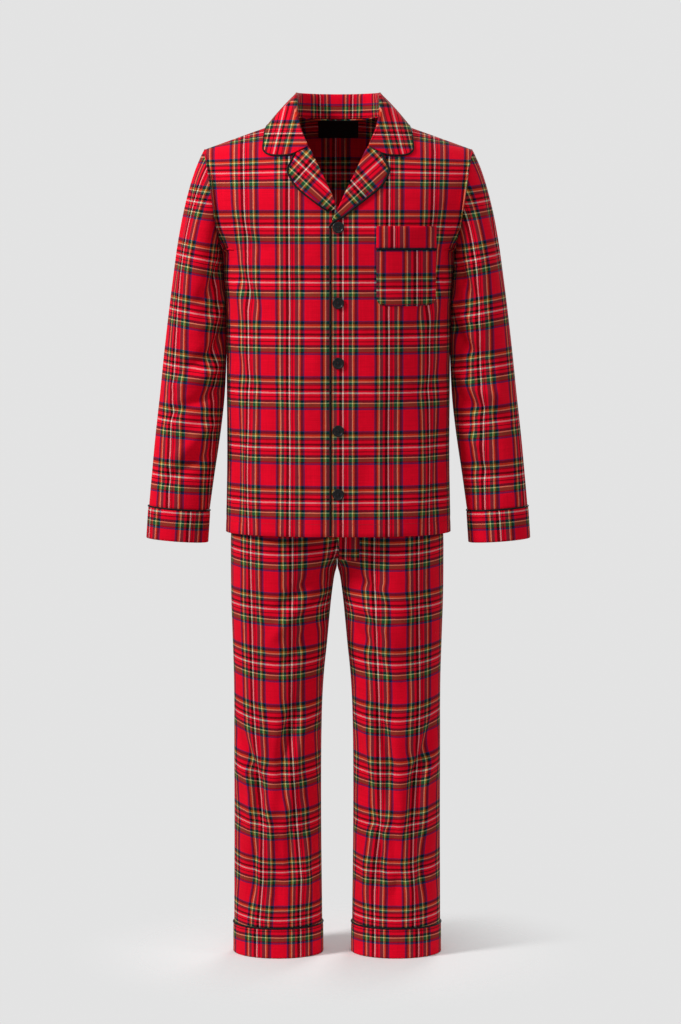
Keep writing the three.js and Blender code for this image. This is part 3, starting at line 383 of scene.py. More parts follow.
def collarColumn(at, side):
    row = tableAt(collarTable, at)
    seam, fold, edge = [np.array([row[k + axis] for axis in "XYZ"]) for k in ("seam", "fold", "edge")]
    out = edge - fold
    out[2] = 0
    out /= np.linalg.norm(out)
    upright = clamp((fold[2] - seam[2]) / collar["upright"], collar["leastUpright"], 1)
    half = collar["foldHalf"] * upright
    inside, outside = fold - out * half, fold + out * half
    inside[2] -= half
    outside[2] -= half
    points = [seam, lerp(seam, inside, 0.55), inside, fold + np.array((0, 0, 0.2)), outside]
    for share in (0.3, 0.6, 0.85, 1):
        p = lerp(outside, edge, share)
        p[2] += collar["puff"] * math.sin(math.pi * share) * upright
        points.append(p)
    for i, p in enumerate(points):
        if i >= 2 or upright < 1:
            points[i] = clearOfBody(p, collar["seamLift"] if i == 0 else collar["lift"])
    return np.array(points) * np.array((side, 1, 1))


def collarGrid():
    last = collarTable[-1][0]
    return np.array([collarColumn(abs(i), -1 if i < 0 else 1) for i in range(-last, last + 1)])


print("forms ready")


# length run along a line at each of its points, and across a grid along each of its rows
def runAlong(line):
    return np.concatenate([[0], np.cumsum(np.linalg.norm(np.diff(line, axis=0), axis=1))])


def runAcross(grid):
    steps = np.linalg.norm(np.diff(grid, axis=1), axis=2)
    return np.concatenate([np.zeros((len(grid), 1)), np.cumsum(steps, 1)], 1)


# smooth grids through the points of the coarse ones
def refineLine(points, steps, before, after):
    padded = np.concatenate([before[None], points, after[None]])
    out = []
    for i in range(len(points) - 1):
        a, b, c, d = padded[i:i + 4]
        for t in np.arange(steps) / steps:
            out.append(hermite(b, (c - a) / 2, c, (d - b) / 2, t))
    out.append(points[-1])
    return np.array(out)


def refineRing(points, steps):
    whole = np.concatenate([points, points[:1]])
    return refineLine(whole, steps, points[-1], points[1])[:-1]


# past an edge the grid goes on as its ghost says, or straight on
def pastEdge(edge, neighbour, ghost):
    return 2 * edge - neighbour if ghost is None else ghost(edge, neighbour)


def refine(grid, rowSteps, columnSteps, ring=False, start=None, end=None, top=None):
    grid = np.asarray(grid, float)
    if not ring:
        first = pastEdge(grid[:, 0], grid[:, 1], start)
        last = pastEdge(grid[:, -1], grid[:, -2], end)
        grid = np.concatenate([first[:, None], grid, last[:, None]], axis=1)
    grid = refineLine(grid, rowSteps, 2 * grid[0] - grid[1], pastEdge(grid[-1], grid[-2], top))
    turned = grid.transpose(1, 0, 2)
    if ring:
        turned = refineRing(turned, columnSteps)
    else:
        turned = refineLine(turned[1:-1], columnSteps, turned[0], turned[-1])
    return turned.transpose(1, 0, 2)


def acrossSeam(edge, neighbour):
    return neighbour * np.array((1, -1, 1))


def gridNormals(grid, ring, flip):
    if ring:
        across = np.roll(grid, -1, 1) - np.roll(grid, 1, 1)
    else:
        across = np.gradient(grid, axis=1)
    normals = np.cross(across, np.gradient(grid, axis=0))
    normals /= np.maximum(np.linalg.norm(normals, axis=2), 1e-9)[..., None]
    return -normals if flip else normals


# soft troughs and ridges: path of (across, up), width, depth
def creaseRise(creases, across, up):
    rise = np.zeros(across.shape)
    for path, wide, deep in creases:
        path = np.array(path, float)
        lengths = np.linalg.norm(np.diff(path, axis=0), axis=1)
        starts = np.concatenate([[0], np.cumsum(lengths)])
        best = np.full(across.shape, 1e9)
        share = np.zeros(across.shape)
        for i, length in enumerate(lengths):
            a, along = path[i], (path[i + 1] - path[i]) / length
            run = np.clip((across - a[0]) * along[0] + (up - a[1]) * along[1], 0, length)
            gap = np.hypot(across - a[0] - along[0] * run, up - a[1] - along[1] * run)
            nearer = gap < best
            best = np.where(nearer, gap, best)
            share = np.where(nearer, (starts[i] + run) / starts[-1], share)
        fade = np.sin(np.pi * np.clip(share, 0.02, 0.98)) ** 0.7
        rise += deep * fade * np.exp(-((best / wide) ** 2) * 1.6)
    return rise


# 0 on an edge of a grid and 1 from so many rows or columns inside
def edgeFade(shape, start=0, end=0, bottom=0, top=0):
    rows = np.arange(shape[0], dtype=float)[:, None]
    columns = np.arange(shape[1], dtype=float)[None]
    fade = np.ones(shape)
    fromEnd, fromTop = shape[1] - 1 - columns, shape[0] - 1 - rows
    for place, reach in ((columns, start), (fromEnd, end), (rows, bottom), (fromTop, top)):
        if reach:
            t = np.clip(place / reach, 0, 1)
            fade = fade * t * t * (3 - 2 * t)
    return fade


# cloth as a thin wall under its outer face, with rounded edges; uv is in millimetres of cloth
def wallMesh(name, outer, normals, uv, thick, ring=False):
    rows, columns = outer.shape[:2]
    inner = outer - normals * thick
    count = rows * columns
    index = np.arange(count).reshape(rows, columns)
    verts = [outer.reshape(-1, 3), inner.reshape(-1, 3)]
    wrapped = np.concatenate([index, index[:, :1]], 1) if ring else index
    a, b, c, d = wrapped[:-1, :-1], wrapped[:-1, 1:], wrapped[1:, 1:], wrapped[1:, :-1]
    uvCorners = [uv[:-1, :-1], uv[:-1, 1:], uv[1:, 1:], uv[1:, :-1]]
    quads = [np.stack([a, b, c, d], -1).reshape(-1, 4), np.stack([a, d, c, b], -1).reshape(-1, 4) + count]
    uvs = [np.stack(uvCorners, -2).reshape(-1, 4, 2)]
    uvs.append(uvs[0][:, [0, 3, 2, 1]])
    lines = [(wrapped[0, ::-1], uv[0, ::-1], 1, 0), (wrapped[-1], uv[-1], -2, -1)]
    if not ring:
        lines += [(wrapped[:, 0], uv[:, 0], 1, 0), (wrapped[::-1, -1], uv[::-1, -1], -2, -1)]
    grown = count * 2
    flat = outer.reshape(-1, 3)
    for n, (line, lineUv, inside, edge) in enumerate(lines):
        if n < 2:
            away = outer[edge] - outer[inside]
            away = away[::-1] if n == 0 else away
        else:
            away = outer[:, edge] - outer[:, inside]
            away = away[::-1] if n == 3 else away
        if ring:
            away = np.concatenate([away, away[-1:]]) if n == 0 else np.concatenate([away, away[:1]])
            away = away[:len(line)]
        away = away / np.maximum(np.linalg.norm(away, axis=1), 1e-9)[:, None]
        middle = (flat[line] + inner.reshape(-1, 3)[line]) / 2 + away * thick / 2
        verts.append(middle)
        mids = grown + np.arange(len(line))
        grown += len(line)
        for low, high in ((line, mids), (mids, line + count)):
            quads.append(np.stack([low[:-1], low[1:], high[1:], high[:-1]], -1)[:, ::-1])
            uvs.append(np.stack([lineUv[:-1], lineUv[1:], lineUv[1:], lineUv[:-1]], 1)[:, ::-1])
    quads, uvs = np.concatenate(quads), np.concatenate(uvs)
    mesh = bpy.data.meshes.new(name)
    mesh.from_pydata((np.concatenate(verts) * mm).tolist(), [], quads.tolist())
    layer = mesh.uv_layers.new(name="cloth")
    layer.data.foreach_set("uv", (uvs * mm).astype(np.float32).ravel())
    return finishMesh(name, mesh)


def finishMesh(name, mesh):
    turned = bmesh.new()
    turned.from_mesh(mesh)
    bmesh.ops.recalc_face_normals(turned, faces=turned.faces)
    turned.to_mesh(mesh)
    turned.free()
    mesh.polygons.foreach_set("use_smooth", [True] * len(mesh.polygons))
    piece = bpy.data.objects.new(name, mesh)
    scene.collection.objects.link(piece)
    return piece


# the piece takes a node's place, with its material
def place(piece, material, slot, *nodes):
    piece.data.materials.append(material)
    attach(piece, "root")
    if nodes:
        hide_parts(*nodes)
    return piece


# finds the cloth's outer face again from in front of it or behind
class Surface:
    def __init__(self, outer, ring=False):
        rows, columns = outer.shape[:2]
        index = np.arange(rows * columns).reshape(rows, columns)
        wrapped = np.concatenate([index, index[:, :1]], 1) if ring else index
        corners = [wrapped[:-1, :-1], wrapped[:-1, 1:], wrapped[1:, 1:], wrapped[1:, :-1]]
        quads = np.stack(corners, -1).reshape(-1, 4)
        self.tree = BVHTree.FromPolygons(outer.reshape(-1, 3).tolist(), quads.tolist())

    def at(self, x, z, lift=0, forward=True):
        start = Vector((x, -400 if forward else 400, z))
        spot, normal, _, _ = self.tree.ray_cast(start, Vector((0, 1 if forward else -1, 0)))
        if spot is None:
            spot, normal, _, _ = self.tree.find_nearest(Vector((x, -100 if forward else 100, z)))
        if normal.y * (-1 if forward else 1) < 0:
            normal = -normal
        return np.array(spot + normal * lift), np.array(normal)


# tubes
def tubeMesh(name, points, radius, sides=10, closed=False, flatten=1):
    points = np.asarray(points, float)
    along = np.roll(points, -1, 0) - np.roll(points, 1, 0) if closed else np.gradient(points, axis=0)
    along /= np.linalg.norm(along, axis=1)[:, None]
    side = np.cross(along, np.array((0.03, 0.02, 1)))
    if np.abs(along[:, 2]).mean() > 0.75:
        side = np.cross(along, np.array((0, 1, 0.02)))
    side /= np.linalg.norm(side, axis=1)[:, None]
    up = np.cross(side, along)
    turn = 2 * math.pi * np.arange(sides) / sides
    rings = points[:, None] + radius * (
        side[:, None] * np.cos(turn)[None, :, None] + flatten * up[:, None] * np.sin(turn)[None, :, None]
    )
    count = len(points)
    verts = rings.reshape(-1, 3)
    lengths = runAlong(points)
    faces, uvs = [], []
    for i in range(count if closed else count - 1):
        n = (i + 1) % count
        low, high = lengths[i], lengths[i + 1] if n else lengths[i] + 2
        for k in range(sides):
            m = (k + 1) % sides
            faces.append((i * sides + k, i * sides + m, n * sides + m, n * sides + k))
            v0, v1 = k * 0.8, (k + 1) * 0.8
            uvs += [(low, v0), (low, v1), (high, v1), (high, v0)]
    if not closed:
        faces += [tuple(range(sides))[::-1], tuple(range((count - 1) * sides, count * sides))]
        uvs += [(0, 0)] * (2 * sides)
    mesh = bpy.data.meshes.new(name)
    mesh.from_pydata((verts * mm).tolist(), [], faces)
    layer = mesh.uv_layers.new(name="cloth")
    layer.data.foreach_set("uv", (np.array(uvs) * mm).astype(np.float32).ravel())
    return finishMesh(name, mesh)


# smooth curve through a few points, in even steps
def curveThrough(points, spacing):
    points = np.asarray(points, float)
    fine = refineLine(points, 12, 2 * points[0] - points[1], 2 * points[-1] - points[-2])
    lengths = runAlong(fine)
    count = max(2, int(lengths[-1] / spacing) + 1)
    wanted = np.linspace(0, lengths[-1], count)
    return np.stack([np.interp(wanted, lengths, fine[:, k]) for k in range(fine.shape[1])], 1)


# finishes
check = dict(
    repeatAcross=79.7, repeatDown=94.7, twillPitch=1.15, twill=0.26, wobble=0.35,
    streaks=0.13, napSize=0.9, gamma=2.2,
)
yarns = dict(
    red=(0.89, 0.03, 0.165), deepRed=(0.38, 0.0, 0.08), black=(0.005, 0.0, 0.02),
    green=(0.08, 0.27, 0.24), pine=(0.0, 0.13, 0.15), blue=(0.05, 0.19, 0.40), yellow=(0.85, 0.83, 0.54),
    amber=(0.68, 0.34, 0.08), olive=(0.16, 0.36, 0.16), white=(0.95, 0.90, 0.82),
)
# where each stripe starts, in millimetres from the white line
warpStripes = [
    (0, "white"), (2.2, "black"), (3.6, "red"), (5.4, "deepRed"), (7.4, "red"), (10.8, "green"),
    (16.6, "yellow"), (18.5, "amber"), (20.9, "pine"), (25.2, "blue"), (27.6, "red"), (55, "blue"),
    (57, "pine"), (60, "amber"), (62.6, "yellow"),
    (64.8, "green"), (70.2, "red"), (74.4, "black"), (79.1, "red"),
]
weftStripes = [
    (0, "white"), (2.4, "red"), (6.7, "black"), (8.5, "red"), (13.2, "pine"), (17.7, "yellow"),
    (19.5, "olive"), (24.8, "deepRed"), (27.2, "blue"), (30.2, "red"), (66.4, "blue"), (68.4, "pine"),
    (72.4, "amber"), (75.8, "yellow"), (77.5, "green"), (80.8, "deepRed"), (83.2, "red"), (87.7, "black"),
    (91.4, "red"),
]


def addNode(tree, kind, values=None, **settings):
    node = tree.nodes.new(kind)
    for name, value in settings.items():
        setattr(node, name, value)
    for name, value in (values or {}).items():
        node.inputs[name].default_value = value
    return node


def newGroup(name, inputs, outputs):
    group = bpy.data.node_groups.new(name, "ShaderNodeTree")
    for label, kind, value in inputs:
        socket = group.interface.new_socket(name=label, in_out="INPUT", socket_type="NodeSocket" + kind)
        if value is not None:
            socket.default_value = value
    for label, kind in outputs:
        group.interface.new_socket(name=label, in_out="OUTPUT", socket_type="NodeSocket" + kind)
    return group, group.nodes.new("NodeGroupInput"), group.nodes.new("NodeGroupOutput")


# math node with plain numbers or links for its inputs
def sums(tree, operation, *values):
    node = addNode(tree, "ShaderNodeMath", operation=operation)
    for i, value in enumerate(values):
        if isinstance(value, (int, float)):
            node.inputs[i].default_value = value
        else:
            tree.links.new(value, node.inputs[i])
    return node.outputs[0]


def stretched(tree, place, scale):
    node = addNode(tree, "ShaderNodeVectorMath", {1: scale}, operation="MULTIPLY")
    tree.links.new(place, node.inputs[0])
    return node.outputs[0]


def noiseOf(tree, place, scale, detail=2.0):
    node = addNode(tree, "ShaderNodeTexNoise", {"Scale": scale, "Detail": detail})
    tree.links.new(place, node.inputs["Vector"])
    return node.outputs["Fac"]


# colour of the stripe at a place on one of the two sets of yarn
def stripeColour(tree, place, repeat, stripes):
    ramp = addNode(tree, "ShaderNodeValToRGB")
    ramp.color_ramp.interpolation = "CONSTANT"
    elements = ramp.color_ramp.elements
    while len(elements) > 1:
        elements.remove(elements[-1])
    for i, (start, yarn) in enumerate(stripes):
        element = elements[0] if i == 0 else elements.new(start / repeat)
        element.position = start / repeat
        element.color = (*yarns[yarn], 1)
    share = sums(tree, "FRACT", sums(tree, "DIVIDE", place, repeat * mm))
    tree.links.new(share, ramp.inputs["Fac"])
    return ramp.outputs["Color"]


def blend(tree, kind, factor, a, b):
    node = addNode(tree, "ShaderNodeMix", data_type="RGBA", blend_type=kind)
    if isinstance(factor, (int, float)):
        node.inputs["Factor"].default_value = factor
    else:
        tree.links.new(factor, node.inputs["Factor"])
    tree.links.new(a, node.inputs[6])
    tree.links.new(b, node.inputs[7])
    return node.outputs[2]


# woven check: warp and weft stripes mixed by a fine twill, with uneven yarns and a brushed face
def makeCheckGroup():
    tree, given, made = newGroup(
        "woven check",
        [
            ("Place", "Vector", None), ("Streaks", "Float", check["streaks"]),
            ("Twill", "Float", check["twill"]),
        ],
        [("Color", "Color"), ("Height", "Float")],
    )
    place = given.outputs["Place"]
    wobble = check["wobble"] * mm
    drift = sums(tree, "MULTIPLY_ADD", noiseOf(tree, place, 60), wobble * 2, -wobble)
    split = addNode(tree, "ShaderNodeSeparateXYZ")
    tree.links.new(place, split.inputs[0])
    across = sums(tree, "ADD", split.outputs["X"], drift)
    down = sums(tree, "ADD", split.outputs["Y"], drift)
    warp = stripeColour(tree, across, check["repeatAcross"], warpStripes)
    weft = stripeColour(tree, down, check["repeatDown"], weftStripes)
    turns = 2 * math.pi / (check["twillPitch"] * mm)
    diagonal = sums(tree, "MULTIPLY", sums(tree, "ADD", split.outputs["X"], split.outputs["Y"]), turns)
    wave = sums(tree, "SINE", diagonal)
    coded = blend(tree, "MIX", sums(tree, "MULTIPLY_ADD", wave, given.outputs["Twill"], 0.5), warp, weft)
    gamma = addNode(tree, "ShaderNodeGamma", {"Gamma": check["gamma"]})
    tree.links.new(coded, gamma.inputs["Color"])
    warpUneven = noiseOf(tree, stretched(tree, place, (900, 14, 1)), 1, 3)
    weftUneven = noiseOf(tree, stretched(tree, place, (14, 800, 1)), 1, 3)
    mottle = noiseOf(tree, place, 45, 3)
    yarnsUneven = sums(tree, "ADD", warpUneven, weftUneven)
    uneven = sums(tree, "ADD", yarnsUneven, sums(tree, "MULTIPLY", mottle, 0.6))
    centred = sums(tree, "SUBTRACT", uneven, 1.3)
    strength = sums(tree, "MULTIPLY", given.outputs["Streaks"], 3)
    shade = sums(tree, "MULTIPLY_ADD", centred, strength, 1)
    grey = addNode(tree, "ShaderNodeCombineColor")
    for socket in grey.inputs[:3]:
        tree.links.new(shade, socket)
    tree.links.new(blend(tree, "MULTIPLY", 1.0, gamma.outputs[0], grey.outputs[0]), made.inputs["Color"])
    nap = noiseOf(tree, place, 1000 / check["napSize"], 2)
    tree.links.new(sums(tree, "MULTIPLY_ADD", wave, 0.25, nap), made.inputs["Height"])
    return tree


# small soft wrinkles under the size of the modelled folds
def makeWrinkleGroup():
    tree, given, made = newGroup("small wrinkles", [("Place", "Vector", None)], [("Height", "Float")])
    place = given.outputs["Place"]
    long = noiseOf(tree, stretched(tree, place, (1, 0.3, 1)), 24, 2)
    short = noiseOf(tree, stretched(tree, place, (0.7, 1, 1)), 60, 2)
    tree.links.new(sums(tree, "MULTIPLY_ADD", short, 0.35, long), made.inputs["Height"])
    return tree


# fine slanting ridges of twisted or satin-woven thread
def makeTwistGroup():
    tree, given, made = newGroup(
        "thread twist", [("Place", "Vector", None), ("Pitch", "Float", 1.0)], [("Height", "Float")]
    )
    split = addNode(tree, "ShaderNodeSeparateXYZ")
    tree.links.new(given.outputs["Place"], split.inputs[0])
    slant = sums(tree, "MULTIPLY_ADD", split.outputs["Y"], 0.6, split.outputs["X"])
    turns = sums(tree, "DIVIDE", 2 * math.pi / mm, given.outputs["Pitch"])
    wave = sums(tree, "SINE", sums(tree, "MULTIPLY", slant, turns))
    fuzz = noiseOf(tree, given.outputs["Place"], 900)
    tree.links.new(sums(tree, "MULTIPLY_ADD", wave, 0.5, fuzz), made.inputs["Height"])
    return tree


checkGroup, wrinkleGroup, twistGroup = makeCheckGroup(), makeWrinkleGroup(), makeTwistGroup()


def newMaterial(name, values):
    material = bpy.data.materials.new(name)
    material.use_nodes = True
    tree = material.node_tree
    shader = tree.nodes["Principled BSDF"]
    for label, value in values.items():
        shader.inputs[label].default_value = value
    place = addNode(tree, "ShaderNodeUVMap", uv_map="cloth")
    return material, tree, shader, place.outputs["UV"]


def useGroup(tree, group, place, values=None):
    node = addNode(tree, "ShaderNodeGroup", node_tree=group)
    tree.links.new(place, node.inputs["Place"])
    for label, value in (values or {}).items():
        node.inputs[label].default_value = value
    return node


# raises the surface by a height in metres, on top of what is there
def addBump(tree, height, strength, distance, under=None):
    node = addNode(tree, "ShaderNodeBump", {"Strength": strength, "Distance": distance * mm})
    tree.links.new(height, node.inputs["Height"])
    if under:
        tree.links.new(under, node.inputs["Normal"])
    return node.outputs["Normal"]


flannelLook = dict(wrinkles=2.2, weave=0.16, weaveStrength=0.5)


def makeFlannel():
    material, tree, shader, place = newMaterial("check flannel", {
        "Roughness": 0.92, "Specular IOR Level": 0.08, "Sheen Weight": 0.04, "Sheen Roughness": 0.5,
        "Sheen Tint": (1, 0.6, 0.6, 1),
    })
    cloth = useGroup(tree, checkGroup, place)
    tree.links.new(cloth.outputs["Color"], shader.inputs["Base Color"])
    wrinkles = useGroup(tree, wrinkleGroup, place)
    under = addBump(tree, wrinkles.outputs["Height"], 0.6, flannelLook["wrinkles"])
    face = addBump(tree, cloth.outputs["Height"], flannelLook["weaveStrength"], flannelLook["weave"], under)
    tree.links.new(face, shader.inputs["Normal"])
    return material


# piping, threads and label: one colour, with fine slanting ridges
def makeTwisted(name, colour, pitch, strength, high, look):
    material, tree, shader, place = newMaterial(name, {"Base Color": (*colour, 1), **look})
    twist = useGroup(tree, twistGroup, place, {"Pitch": pitch})
    tree.links.new(addBump(tree, twist.outputs["Height"], strength, high), shader.inputs["Normal"])
    return material


def makeButtonFinish():
    material, tree, shader, place = newMaterial("black button", {
        "Roughness": 0.3, "Specular IOR Level": 0.26, "Coat Weight": 0.08, "Coat Roughness": 0.16,
    })
    clouds = noiseOf(tree, place, 180, 4)
    ramp = addNode(tree, "ShaderNodeValToRGB")
    ramp.color_ramp.elements[0].color = (0.004, 0.004, 0.005, 1)
    ramp.color_ramp.elements[1].color = (0.013, 0.014, 0.016, 1)
    tree.links.new(clouds, ramp.inputs["Fac"])
    tree.links.new(ramp.outputs["Color"], shader.inputs["Base Color"])
    scuffs = noiseOf(tree, place, 900, 2)
    tree.links.new(sums(tree, "MULTIPLY_ADD", scuffs, 0.16, 0.22), shader.inputs["Roughness"])
    return material


threadLook = {"Roughness": 0.7, "Specular IOR Level": 0.3}
labelLook = {"Roughness": 0.6, "Specular IOR Level": 0.3}
pipingLook = {
    "Roughness": 0.55, "Specular IOR Level": 0.16, "Sheen Weight": 0.03, "Sheen Roughness": 0.4,
}
flannel = makeFlannel()
pipingBlack = makeTwisted("black piping", (0.004, 0.004, 0.005), 1.6, 0.6, 0.15, pipingLook)
redThread = makeTwisted("red thread", (0.4, 0.012, 0.03), 0.5, 0.5, 0.08, threadLook)
blackThread = makeTwisted("black thread", (0.02, 0.02, 0.022), 0.5, 0.5, 0.08, threadLook)
buttonFinish = makeButtonFinish()
labelFinish = makeTwisted("black label", (0.006, 0.006, 0.007), 0.7, 0.5, 0.08, labelLook)
print("finishes ready")


# cloth place of the body of the top: across round the body, down over the shoulder
clothWall = 1.5
seamRoll = dict(depth=0.55, reach=3.2)
creaseDepth = dict(body=1.25, sleeve=1.6, leg=1.6)
bodyCheck = dict(across=6.8, leftAcross=-6, down=-379.4, backAcross=-6)


def columnOf(table, name, z):
    names, *rows = table
    rows = sorted(rows)
    return np.interp(z, [row[0] for row in rows], [row[names.index(name)] for row in rows])


def bodyPlace(points, side, offset):
    x, z = np.abs(points[..., 0]), points[..., 2]
    half, deep = columnOf(bodyTable, "half", z), columnOf(bodyTable, side, z)
    power, rounding = body["squareness"], body[side + "Rounding"]
    steps = np.linspace(0, 1, 25)[:, None, None] * np.minimum(x, half * 0.9999)
    depths = deep * np.sqrt(np.maximum(0, 1 - (steps / half) ** power))
    girth = np.hypot(np.diff(steps, axis=0), np.diff(depths, axis=0)).sum(0)
    level = np.vectorize(shoulderLine)(x) - rounding
    start = np.arccos(np.clip((z - level) / rounding, 0, 1))
    turns = start + (math.pi / 2 - start) * np.linspace(0, 1, 17)[:, None, None]
    flat = deep * np.sqrt(np.maximum(0, 1 - (np.minimum(x, half) / half) ** power))
    speed = np.hypot(rounding * np.sin(turns), flat * np.cos(turns))
    climbed = speed.mean(0) * (math.pi / 2 - start)
    down = np.where(z < level, -z, -level - climbed)
    return np.stack([np.sign(points[..., 0]) * girth - offset, down + bodyCheck["down"]], -1)


# cloth turns in a little at a sewn edge
def rollSeams(outer, normals, *edges):
    for edge in edges:
        lines = {"start": outer, "end": outer[:, ::-1], "bottom": outer, "top": outer[::-1]}[edge]
        axis = 1 if edge in ("start", "end") else 0
        steps = np.linalg.norm(np.diff(lines, axis=axis), axis=2)
        gap = np.concatenate([np.zeros_like(np.take(steps, [0], axis)), np.cumsum(steps, axis)], axis)
        gap = {"start": gap, "end": gap[:, ::-1], "bottom": gap, "top": gap[::-1]}[edge]
        outer = outer - normals * (seamRoll["depth"] * np.exp(-((gap / seamRoll["reach"]) ** 2)))[..., None]
    return outer


# troughs and ridges of the body: (across, up) is the place, and the left side has its own
frontCreases = dict(
    right=[
        ([(206, -200), (186, -262), (150, -330), (120, -390)], 15, -4.5),
        ([(200, -232), (176, -300), (156, -372)], 13, 3.2),
        ([(196, -150), (168, -196), (126, -226)], 16, -2.6),
        ([(188, -420), (160, -468), (120, -500)], 18, -2.6),
        ([(40, -250), (70, -300), (84, -372)], 20, -2.0),
        ([(30, -380), (60, -436), (64, -520)], 22, 2.2),
        ([(96, -470), (92, -560), (98, -700)], 20, -3.4),
        ([(140, -500), (146, -600), (142, -715)], 18, 3.0),
        ([(176, -520), (172, -620), (168, -715)], 15, -3.4),
        ([(52, -560), (46, -640), (50, -722)], 18, -2.6),
    ],
    left=[
        ([(-206, -196), (-184, -258), (-146, -318), (-112, -372)], 15, -4.5),
        ([(-200, -226), (-178, -290), (-160, -350)], 13, 3.2),
        ([(-194, -158), (-160, -206), (-118, -240)], 16, -2.8),
        ([(-190, -400), (-158, -452), (-122, -478)], 18, -2.6),
        ([(-44, -250), (-76, -312), (-88, -380)], 20, -2.2),
        ([(-36, -400), (-66, -470), (-62, -560)], 22, 2.0),
        ([(-104, -450), (-98, -570), (-106, -712)], 20, -3.4),
        ([(-146, -520), (-150, -620), (-146, -716)], 18, 3.2),
        ([(-178, -500), (-176, -610), (-172, -716)], 15, -3.2),
        ([(-58, -590), (-54, -660), (-60, -722)], 18, -2.4),
    ],
)
backCreases = [
    ([(200, -200), (170, -270), (120, -330)], 17, -4.4),
    ([(-202, -194), (-166, -262), (-124, -318)], 17, -4.4),
    ([(190, -250), (150, -330), (90, -400)], 18, 3.2), ([(-192, -244), (-148, -322), (-96, -388)], 18, 3.2),
    ([(60, -60), (92, -130), (100, -210)], 20, -2.4), ([(-56, -64), (-88, -136), (-94, -216)], 20, -2.6),
    ([(20, -160), (26, -260), (12, -360)], 24, -2.6), ([(-64, -400), (-58, -520), (-66, -700)], 22, -3.4),
    ([(8, -430), (16, -560), (4, -716)], 24, 3.0), ([(78, -420), (72, -540), (80, -712)], 20, -3.6),
    ([(140, -440), (148, -580), (142, -716)], 20, 3.2),
    ([(-132, -450), (-140, -590), (-136, -716)], 20, 3.0),
    ([(-176, -500), (-172, -600), (-170, -712)], 16, -3.2),
    ([(178, -480), (174, -600), (172, -712)], 16, -3.2),
]
hemFold = dict(height=21, depth=0.7, wide=2.4)


# the turned-up hem shows as a shallow line where it is stitched
def hemLine(up, hem):
    return -hemFold["depth"] * np.exp(-(((up - hem - hemFold["height"]) / hemFold["wide"]) ** 2))


def pressed(outer, normals, creases, fade, hem=None):
    rise = creaseRise(creases, outer[..., 0], outer[..., 2]) * fade * creaseDepth["body"]
    if hem is not None:
        rise += hemLine(outer[..., 2], hem)
    return outer + normals * rise[..., None]


def backTop(edge, neighbour):
    straight = 2 * edge - neighbour
    atNeck = np.abs(edge[:, :1]) < body["neckHalf"] - 1
    return np.where(atNeck, straight, acrossSeam(edge, neighbour))


surfaces = {}
frontRightGrid, frontLeftGrid, backPoints = frontGrid(1), frontGrid(-1), backGrid()
for side, coarse in (("right", frontRightGrid), ("left", frontLeftGrid)):
    outer = refine(coarse, 8, 5, end=acrossSeam, top=acrossSeam)
    normals = gridNormals(outer, False, side == "left")
    place2d = bodyPlace(outer, "front", bodyCheck["across" if side == "right" else "leftAcross"])
    outer = pressed(outer, normals, frontCreases[side], edgeFade(outer.shape[:2], 2, 6, 0, 8), body["hem"])
    normals = gridNormals(outer, False, side == "left")
    outer = rollSeams(outer, normals, "end", "top")
    surfaces["front_" + side] = Surface(outer)
    piece = wallMesh("front." + side, outer, normals, place2d, clothWall)
    place(piece, flannel, "check_cloth", "front_" + side)

outer = refine(backPoints, 8, 5, start=acrossSeam, end=acrossSeam, top=backTop)
normals = gridNormals(outer, False, False)
place2d = bodyPlace(outer, "back", bodyCheck["backAcross"])
outer = pressed(outer, normals, backCreases, edgeFade(outer.shape[:2], 6, 6, 0, 8), body["hem"])
normals = gridNormals(outer, False, False)
outer = rollSeams(outer, normals, "start", "end", "top")
surfaces["back"] = Surface(outer - normals * clothWall)
piece = wallMesh("back.panel", outer, normals, place2d, clothWall)
place(piece, flannel, "check_cloth", "back")
print("body of the top ready")

# sleeves: the check runs along the sleeve's own slope
sleeveCheck = dict(down=-339.5, left=57, right=20)
sleeveSlope = [
    ("z", "slope"), (-100, 0.23), (-262, 0.2), (-350, 0.165), (-450, 0.12), (-560, 0.085),
    (-682, 0.072),
]
